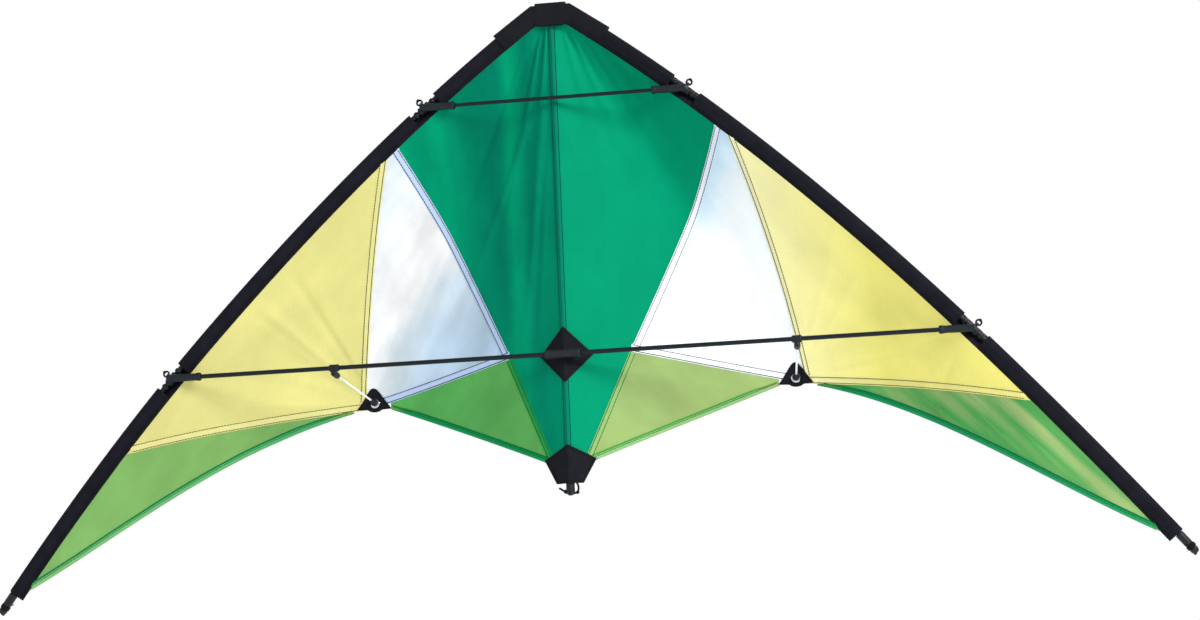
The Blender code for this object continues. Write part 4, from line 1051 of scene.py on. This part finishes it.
def sleeve_thread(name, side, start, end):
    """Two rows of black stitching beside the sleeve's sewn edge."""
    at = stitch_places(start, end - STITCH_PITCH)
    inward, forward = edge_axes(at)[1:]
    rows = [edge_point(at) + inward * (SLEEVE_INNER - row) + forward * (0.0016 + 0.1 * row)
            for row in (0.0020, 0.0042)]
    thread(f"{name}_sleeve_stitches_{side}", np.concatenate(rows) * flip(side), body=f"wing_{side}")


def sleeve_bridge(name, side, at):
    """The back half of the sleeve runs on behind a connector, where the front is cut away."""
    s = np.linspace(at - JOINT_WINDOW - 0.003, at + JOINT_WINDOW + 0.003, 28)
    across = curve_through([(p, q, 0.0) for p, q in BRIDGE_PATH], 4)
    inward, forward = edge_axes(s)[1:]
    middle = edge_point(s)[:, None] + inward[:, None] * across[:, :1] + forward[:, None] * across[:, 1:2]
    half = forward[:, None] * 0.0004
    sheet = closed_sheet((middle + half) * flip(side), (middle - half) * flip(side))
    new_piece(f"{name}_sleeve_bridge_{side}", sheet, "sleeve", f"wing_{side}")


def sleeves(side):
    spans = (("upper", SLEEVE_TOP, UPPER_AT - JOINT_WINDOW),
             ("middle", UPPER_AT + JOINT_WINDOW, LOWER_AT - JOINT_WINDOW),
             ("lower", LOWER_AT + JOINT_WINDOW, SLEEVE_END))
    for name, start, end in spans:
        sleeve(name, side, start, end)
        sleeve_thread(name, side, max(start, THREAD_TOP), end)
    sleeve_bridge("upper", side, UPPER_AT)
    sleeve_bridge("lower", side, LOWER_AT)


# ---- rods
SOCKET_DEPTH = 0.0125                       # from a leading edge's axis to the end of a spreader


def rods():
    bottom, top = ((0.0, SPINE_Y, z) for z in (SPINE_LOW.z, SPINE_HIGH.z))
    new_piece("spine_tube", rod(bottom, top, ROD_RADIUS), "carbon", "spine", "spine_rod")
    start, end = ((sign * (UPPER_JOINT[0] - SOCKET_DEPTH), SPREADER_Y, UPPER_JOINT[2]) for sign in (-1, 1))
    new_piece("upper_spreader_tube", rod(start, end, THIN_ROD_RADIUS), "carbon",
              "upper_spreader", "upper_spreader_rod")
    for side, sign in SIGN.items():
        start, end = ((sign * x, SPREADER_Y, 0.0) for x in (0.0075, LOWER_JOINT[0] - SOCKET_DEPTH))
        new_piece(f"lower_spreader_tube_{side}", rod(start, end, ROD_RADIUS), "carbon",
                  f"lower_spreader_{side}", f"lower_spreader_rod_{side}")
        points = edge_point(np.linspace(0.0, EDGE_LENGTH - 0.010, 120)) * flip(side)
        new_piece(f"leading_edge_tube_{side}", tube(points, ROD_RADIUS, 24), "carbon",
                  f"wing_{side}", f"leading_edge_rod_{side}")


# ---- fittings on the leading edges
ARM_LENGTH = 0.036
LOOP_EYE = 0.0056
LOOP_RADIUS = 0.0030
STOPPER_OFFSET = 0.0115
NOCK_AT = 0.8775


def mirrored(half):
    """A turned part's profile from its first half, read from the end inwards."""
    return [(-d, r) for d, r in half] + [(d, r) for d, r in reversed(half)]


def edge_connector(side, part, at, rod_radius):
    """Moulded vinyl: a ribbed barrel on the leading edge, a tube for the spreader, an eye lug."""
    centre, along, inward = edge_frame(side, at)
    arm_from = np.array((centre[0], SPREADER_Y, centre[2]))
    mouth = rod_radius + 0.0003
    barrel = mirrored([(0.0070, 0.0029), (0.0070, 0.0043), (0.0058, 0.0047), (0.0048, 0.0044)])
    arm = [(-0.0038, 0), (-0.0036, 0.0036), (-0.0024, 0.0043), (0.0230, 0.0042), (0.0250, 0.0041),
           (ARM_LENGTH - 0.0052, 0.0041), (ARM_LENGTH - 0.0044, 0.0046), (ARM_LENGTH - 0.0008, 0.0046),
           (ARM_LENGTH, 0.0042), (ARM_LENGTH, mouth), (0.0120, mouth), (0.0120, 0)]
    lug = mirrored([(0.0013, 0.0012), (0.0013, 0.0024)])
    parts = [turned(barrel, centre, along, ring=True), turned(arm, arm_from, (-SIGN[side], 0, 0)),
             turned(lug, centre - inward * LOOP_EYE, along, 0.0003, ring=True)]
    piece = fused(f"{part}_vinyl_connector_{side}", parts, "vinyl", node=f"{part}_connector_{side}")
    if (part, side) == ("upper", "right"):
        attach(piece, "wing_right")
        return
    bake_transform(piece)


def wrap(centre, a, b, radius, thickness, count=40):
    """A closed ring of cord."""
    return cord(centre + radius * circle(a, b, count), thickness, closed=True)


def knot(centre, a, b, size):
    """Two wraps of cord drawn tight around each other."""
    c = unit(np.cross(a, b))
    return [wrap(centre + a * size * 0.35, b, c, size * 0.62, size * 0.5, 24),
            wrap(centre - a * size * 0.35, unit(b + a * 0.4), c, size * 0.62, size * 0.5, 24)]


def bridle_loop(side, part, at):
    """A laid cord loop through the connector's eye, with its knot."""
    centre, along, inward = edge_frame(side, at)
    middle = centre - inward * (LOOP_EYE + LOOP_RADIUS)
    parts = [wrap(middle, inward, along, LOOP_RADIUS, 0.0010, 44)]
    parts += knot(middle - inward * LOOP_RADIUS, inward, along, 0.0016)
    new_piece(f"{part}_cord_loop_{side}", joined(parts), "cord", f"{part}_loop_{side}",
              f"{part}_bridle_loop_{side}", sharp=70)


def stopper(side, part, at, name):
    """A nylon clip that keeps a connector from sliding."""
    half = 0.0021
    profile = mirrored([(half, ROD_BORE), (half, 0.0034), (half * 0.5, 0.0040)])
    centre, along, _ = edge_frame(side, at)
    new_piece(f"{part}_clip_{name}_{side}", turned(profile, centre, along, ring=True), "nylon",
              f"wing_{side}", f"{part}_stopper_{name}_{side}")


def nock(name, profile, origin, along, slot, body, node):
    """A nylon cap with a slot across its end for a cord."""
    piece = new_piece(name, turned(profile, origin, along, 0.0006), "nylon", body, node)
    carve(piece, new_piece("cutter", slot, "nylon"))


def wing_tip(side):
    """Nock over the end of the leading edge, and the cord that draws the sail's tip to it."""
    origin = edge_point(NOCK_AT) * flip(side)
    _, along, inward = edge_frame(side, EDGE_LENGTH - 0.014)
    length = EDGE_LENGTH - NOCK_AT
    profile = [(0.008, 0), (0.008, ROD_BORE), (0, ROD_BORE), (0, 0.0043), (0.0008, 0.0048),
               (0.0150, 0.0048), (0.0165, 0.0038), (0.0205, 0.0038), (0.0220, 0.0047),
               (length - 0.003, 0.0046), (length, 0.0030), (length, 0)]
    slot = block(origin + along * (length - 0.0005), along, inward, (0.009, 0.014, 0.0016))
    nock(f"tip_nock_{side}", profile, origin, along, slot, f"wing_{side}", f"wing_tip_nock_{side}")
    middle = origin + along * 0.0185
    forward = unit(np.cross(inward, along))
    parts = [wrap(middle + along * k * 0.0014, inward, forward, 0.0046, 0.0008) for k in (-1, 0, 1)]
    tail = middle + forward * 0.0050
    parts.append(cord(curve_through([tail, tail - along * 0.003 + inward * 0.002,
                                     tail - along * 0.006 + inward * 0.0045]), 0.0007))
    parts += knot(tail, along, inward, 0.0018)
    parts += knot(origin + along * (length - 0.001) + inward * 0.002, inward, forward, 0.0020)
    new_piece(f"tip_cord_{side}", joined(parts), "cord", f"wing_{side}", f"wing_tip_cord_{side}", sharp=70)


# ---- standoffs and eyelets
STANDOFF_START = (0.258, SPREADER_Y + 0.0015, -0.0064)


def standoff(side):
    """A white rod from a clip on the spreader to a rubber end in the sail's eyelet."""
    start = STANDOFF_START * flip(side)
    end = EYELET * flip(side)
    along = unit(end - start)
    new_piece(f"standoff_bar_{side}", rod(start + along * 0.001, end - along * 0.0068, STANDOFF_RADIUS, 4),
              "white_rod", f"standoff_{side}", f"standoff_rod_{side}")

    barrel = mirrored([(0.0055, ROD_BORE), (0.0055, 0.0036), (0.0045, 0.0040)])
    lobe = [(-0.0050, 0), (-0.0042, 0.0028), (-0.0030, 0.0036), (0.0064, 0.0036), (0.0082, 0.0030),
            (0.0088, 0)]
    parts = [turned(barrel, (start[0], SPREADER_Y, 0.0), (1, 0, 0), ring=True),
             turned(lobe, start, along, 0.0008)]
    fused(f"standoff_clip_{side}", parts, "vinyl", f"lower_spreader_{side}", f"standoff_connector_{side}")

    bore = STANDOFF_RADIUS + 0.0002
    nub = [(-0.0062, 0), (-0.0062, bore), (-0.0125, bore), (-0.0125, 0.0020), (-0.0044, 0.0027),
           (-0.0040, 0.0041), (-0.0022, 0.0041), (-0.0020, 0.0020), (0.0020, 0.0020), (0.0025, 0.0025),
           (0.0040, 0.0016), (0.0042, 0)]
    new_piece(f"standoff_nub_{side}", turned(nub, end, along, 0.0005), "rubber",
              f"belly_{side}", f"standoff_end_{side}")

    ring = [(-0.0010, 0.0028), (-0.0017, 0.0034), (-0.0019, 0.0045), (-0.0014, 0.0058), (-0.0006, 0.0064),
            (0.0006, 0.0064), (0.0014, 0.0050), (0.0010, 0.0028)]
    new_piece(f"steel_eyelet_{side}", turned(ring, end, along, 0.0006, ring=True, sides=48), "steel",
              f"belly_{side}", f"eyelet_{side}")


# ---- reinforcing patches
def on_either_side(points, lift):
    """(x, z) points laid on the sail, on both sides of the spine."""
    x, z = points[..., 0], points[..., 1]
    y = np.where(x < 0, sail_y(np.abs(x), z, "left"), sail_y(np.abs(x), z, "right"))
    return np.stack([x, y - lift, z], axis=-1)


def filled(corners, radius, steps):
    """An outline with softened corners and more points along its straight runs."""
    outline = np.asarray(rounded(corners, radius, steps, closed=True))
    result = []
    for a, b in zip(outline, np.roll(outline, -1, axis=0)):
        count = max(1, int(np.linalg.norm(b - a) / 0.0022))
        result += [a + (b - a) * t for t in np.linspace(0, 1, count, endpoint=False)]
    return np.array(result)


def patch(name, outline, centre, hole, lift, thickness, inset, thread_lift, side=None):
    """Webbing laid on the sail round a hole, with a row of stitches inside its outline."""
    around = outline - centre
    far = np.linalg.norm(around, axis=1, keepdims=True)
    front, back = [], []
    for share in np.linspace(0, 1, 10):
        points = centre + around / far * (hole + (far - hole) * share)
        half = thickness / 2 * (1 - 0.45 * smooth_step((share - 0.8) / 0.2))
        front.append(on_either_side(points, lift + half))
        back.append(on_either_side(points, lift - half))
    body, end = (None, f"_{side}") if side else ("spine", "")
    piece = new_piece(f"{name}_cloth{end}", rings_solid(front + back[::-1], closed=True), "webbing",
                      body, f"{name}{end}", sharp=50)
    if side:
        follow_sail(piece)
    path = centre + around * (1 - inset / far)
    path = np.concatenate([path, path[:1]])
    steps = lengths_along(path)
    row = sampled(stitch_places(0, steps[-1] - STITCH_LENGTH), steps, path)
    stitches = on_either_side(row, thread_lift + 0.00022 * STITCH_ARCH)
    thread(f"{name}_stitches{end}", stitches, body=body, side=side)


def diamond_patch():
    outline = filled([(0.0, 0.0310), (0.0300, 0.0), (0.0, -0.0310), (-0.0300, 0.0)], 0.0012, 4)
    patch("diamond_patch", outline, (0.0, 0.0), 0.0042, 0.0014, 0.0010, 0.0028, 0.0019)


def tail_patch():
    low, shoulder = TAIL_Z - 0.0028, NOSE_Z - 0.5015
    corners = [(0.0, NOSE_Z - 0.4855), (0.0290, shoulder), (0.0150, low), (-0.0150, low),
               (-0.0290, shoulder)]
    outline = filled(corners, 0.0008, 4)
    patch("tail_patch", outline, (0.0, NOSE_Z - 0.507), 0.0002, 0.0014, 0.0012, 0.0024, 0.0020)


def belly_patch(side):
    """A triangle with hollow upper sides, long points to left and right and a lobe below."""
    right = [(0.0035, 0.0150), (0.0075, 0.0100), (0.0135, 0.0010), (0.0200, -0.0075), (0.0080, -0.0078),
             (0.0055, -0.0098)]
    left = [(-x, z) for x, z in right]
    corners = [*left[3::-1], (0.0, 0.0165), *right, (0.0, -0.0108), *left[:3:-1]]
    centre = EYELET[[0, 2]]
    outline = filled([centre + corner for corner in corners], 0.002, 3) * (SIGN[side], 1)
    patch("belly_patch", outline, centre * (SIGN[side], 1), 0.0050, 0.0012, 0.0012, 0.0016, 0.0018, side)


# ---- nose and tail
CAP_ARM_END = 0.0465
CAP_CORNER = 0.0222
CAP_RISE = 0.0022               # the folded webbing stands above the rods' ends
CAP_CORNER_AT = 0.34            # share of the way from the middle to the end of an arm
CAP_HALF_WIDTH = 0.0168         # of the strap over the middle


def nose_outlines(u):
    """Outer and inner (x, z) of the nose webbing at a share u of the way down one arm."""
    tip, inward = edge_point(CAP_ARM_END)[[0, 2]], edge_axes(CAP_ARM_END)[1][[0, 2]]
    proud = edge_point(CAP_ARM_END + 0.0015)[[0, 2]] - inward * 0.0100
    outer = np.array([(0.0, NOSE_Z + CAP_RISE), (CAP_CORNER, NOSE_Z + CAP_RISE), proud])
    inner = np.array([(0.0, NOSE_Z - 0.0215), (0.0172, NOSE_Z - 0.0213), tip + inward * 0.0130])
    return [sampled(u, (0.0, CAP_CORNER_AT, 1.0), line) for line in (outer, inner)]


def nose_cap():
    """Webbing folded over the top, one arm down each leading edge, and a strap over the middle."""
    turn = np.linspace(0, 2 * math.pi, 40, endpoint=False)
    across = np.sign(np.cos(turn)) * np.abs(np.cos(turn)) ** 0.6
    over = np.sign(np.sin(turn)) * np.abs(np.sin(turn)) ** 0.7
    u = np.concatenate([np.linspace(0.0, CAP_CORNER_AT, 15), np.linspace(CAP_CORNER_AT, 1.0, 30)[1:]])
    outer, inner = nose_outlines(u)
    x, z = ((outer + inner)[..., None] / 2 + (inner - outer)[..., None] / 2 * across).transpose(1, 0, 2)
    to_rod = smooth_step((u - 0.2) / 0.35)[:, None]
    thick = np.where(over > 0, 0.0046 + 0.0010 * to_rod, 0.0100 - 0.0045 * to_rod)
    slim = 1 - 0.55 * smooth_step((np.cos(turn) * to_rod - 0.1) / 0.8)
    rings = np.stack([x, WING_Y + 0.001 - over * thick * slim, z], axis=-1)
    for side, sign in SIGN.items():
        shape = rings_solid([*rings * flip(side)])
        piece = new_piece(f"nose_webbing_{side}", shape, "webbing", node="nose_cap", sharp=50)
        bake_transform(piece)
    loop = [(0.0086, -0.0213), (0.0082, -0.010), (0.0088, 0.001), (0.0110, 0.0042), (0.0185, 0.0042),
            (0.0240, 0.0015), (0.0246, -0.010), (0.0246, -0.0213)]
    inside = [(y + (0.0012 if y < 0.012 else -0.0012), z - 0.0012 * (z > -0.002)) for y, z in loop]
    spread = np.linspace(-1, 1, 13)[None, :, None] * np.array((CAP_HALF_WIDTH, 0, 0))
    faces = [curve_through([(0.0, y, NOSE_Z + z) for y, z in line], 5)[:, None] + spread
             for line in (loop, inside)]
    new_piece("nose_strap", closed_sheet(*faces), "webbing", "spine")


def tail_end():
    origin = np.array((0.0, SPINE_Y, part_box("tail_cap")[1].z))
    down = np.array((0.0, 0.0, -1.0))
    profile = [(0.0085, 0), (0.0085, ROD_BORE), (0, ROD_BORE), (0, 0.0043), (0.0008, 0.0048),
               (0.0120, 0.0048), (0.0142, 0.0038), (0.0157, 0.0014), (0.0158, 0)]
    slot = block(origin + down * 0.0150, down, (0, 1, 0), (0.007, 0.014, 0.0016))
    nock("tail_nock", profile, origin, down, slot, "spine", "tail_cap")
    side_loop = [(0.0030, -0.0005, 0.001), (0.0066, -0.001, -0.001), (0.0090, -0.001, -0.006),
                 (0.0078, 0.0, -0.0115), (0.0030, 0.0, -0.0135), (0.0, -0.0004, -0.0142),
                 (-0.0040, 0.0, -0.0120), (-0.0085, 0.0, -0.0095), (-0.0125, 0.0, -0.0068)]
    parts = [cord(curve_through(origin + np.array(side_loop)), 0.0011)]
    for place, drop, size in (((-0.0052, 0, -0.0112), -0.4, 0.0020), ((0.0078, 0, -0.0122), 0.6, 0.0017)):
        parts += knot(origin + place, np.array((1.0, 0, drop)), np.array((0, 1.0, 0)), size)
    new_piece("tail_cord_loop", joined(parts), "cord", "spine", "tail_cord", sharp=70)


def centre_tee():
    """Rubber tee: a barrel on the spine, a neck through the sail and a socket to each side."""
    socket = mirrored([(0.0200, ROD_BORE), (0.0200, 0.0043), (0.0188, 0.0049), (0.0168, 0.0049),
                       (0.0155, 0.0045)])
    barrel = mirrored([(0.0105, ROD_BORE), (0.0105, 0.0043), (0.0095, 0.0047)])
    neck = [(0.0094, 0), (0.0094, 0.0036), (0.0168, 0.0036), (0.0168, 0)]
    parts = [turned(socket, (0, SPREADER_Y, 0), (1, 0, 0), ring=True),
             turned(barrel, (0, SPINE_Y, 0), (0, 0, 1), ring=True), turned(neck, (0, 0, 0), (0, 1, 0))]
    fused("centre_tee_rubber", parts, "rubber", "spine", "centre_tee")


# ---- stage
HANGING_HEIGHT = 0.55           # the kite hangs this far above the floor
CAMERA_TURNS = ((11.065, "Z"), (7.16, "X"), (2.3585, "Y"))
CAMERA_TARGET = Vector((0.0423, WING_Y, NOSE_Z - 0.3411))
CAMERA_DISTANCE = 4.0
CAMERA_LENS = 109.91


def studio():
    scene = bpy.context.scene
    scene.view_settings.view_transform = "Standard"
    scene.world = bpy.data.worlds.new("studio")
    scene.world.use_nodes = True
    tree = scene.world.node_tree
    tree.nodes.clear()
    seen = add(tree, "Background", {"Color": (1.0, 1.0, 1.0, 1.0), "Strength": 1.0})
    light = add(tree, "Background", {"Color": (0.93, 0.96, 1.0, 1.0), "Strength": 0.60})
    camera_ray = add(tree, "LightPath").outputs["Is Camera Ray"]
    mixed = add(tree, "MixShader", {0: camera_ray, 1: light.outputs[0], 2: seen.outputs[0]})
    add(tree, "OutputWorld", {"Surface": mixed.outputs[0]})
    floor_z = cad_box[0].z - HANGING_HEIGHT
    bpy.ops.mesh.primitive_circle_add(vertices=96, radius=14.0, fill_type="NGON", location=(0, 0, floor_z))
    floor = bpy.context.object
    floor.name = "floor"
    floor.data.materials.append(floor_look())
    area_light("key", (3.0, -2.6, 2.0), (0.0, 0.0, 0.05), 1.5, 210.0, (1.0, 0.99, 0.96))
    area_light("fill", (-3.4, -2.6, 0.6), (0.0, 0.0, 0.0), 3.0, 26.0, (0.84, 0.92, 1.0))
    area_light("back", (1.2, 3.4, 1.6), (0.0, 0.0, 0.0), 3.0, 110.0, (1.0, 1.0, 1.0))


def floor_look():
    """A pale floor that fades into the background with distance."""
    look = bpy.data.materials.new("pale_floor")
    look.use_nodes = True
    tree = look.node_tree
    tree.nodes.clear()
    place = add(tree, "TexCoord").outputs["Object"]
    length = add(tree, "VectorMath", {0: place}, operation="LENGTH").outputs["Value"]
    surface = add(tree, "BsdfDiffuse", {"Color": (0.86, 0.87, 0.88, 1.0)}).outputs[0]
    clear = add(tree, "BsdfTransparent").outputs[0]
    mixed = add(tree, "MixShader", {0: remap(length, 1.2, 5.0, 0.0, 1.0), 1: surface, 2: clear})
    return finished(look, mixed.outputs[0])


def area_light(name, place, target, size, power, colour):
    data = bpy.data.lights.new(name, "AREA")
    data.shape = "DISK"
    data.size = size
    data.energy = power
    data.color = colour
    light = bpy.data.objects.new(name, data)
    bpy.context.scene.collection.objects.link(light)
    light.location = place
    light.rotation_euler = (Vector(target) - Vector(place)).to_track_quat("-Z", "Y").to_euler()


def camera():
    """To the right of the kite and below it, a few metres away, and tilted a little."""
    yaw, pitch, roll = (Matrix.Rotation(math.radians(angle), 3, axis) for angle, axis in CAMERA_TURNS)
    right, ahead, up = (yaw @ pitch @ roll).transposed()
    data = bpy.data.cameras.new("camera")
    data.sensor_width = 36.0
    data.lens = CAMERA_LENS
    data.clip_end = 100.0
    cam = bpy.data.objects.new("camera", data)
    bpy.context.scene.collection.objects.link(cam)
    rotation = Matrix((right, up, -ahead)).transposed().to_4x4()
    cam.matrix_world = Matrix.Translation(CAMERA_TARGET - ahead * CAMERA_DISTANCE) @ rotation
    bpy.context.scene.camera = cam


# ---- assembly
def wing(side):
    panels(side)
    seams(side)
    sleeves(side)
    for part, at, radius in (("upper", UPPER_AT, THIN_ROD_RADIUS), ("lower", LOWER_AT, ROD_RADIUS)):
        edge_connector(side, part, at, radius)
        bridle_loop(side, part, at)
        stopper(side, part, at - STOPPER_OFFSET, "above")
        stopper(side, part, at + STOPPER_OFFSET, "below")
    wing_tip(side)
    standoff(side)
    belly_patch(side)


rods()
for wing_side in SIGN:
    wing(wing_side)
spine_strip()
diamond_patch()
tail_patch()
nose_cap()
tail_end()
centre_tee()
keep_rest_places()
studio()
camera()
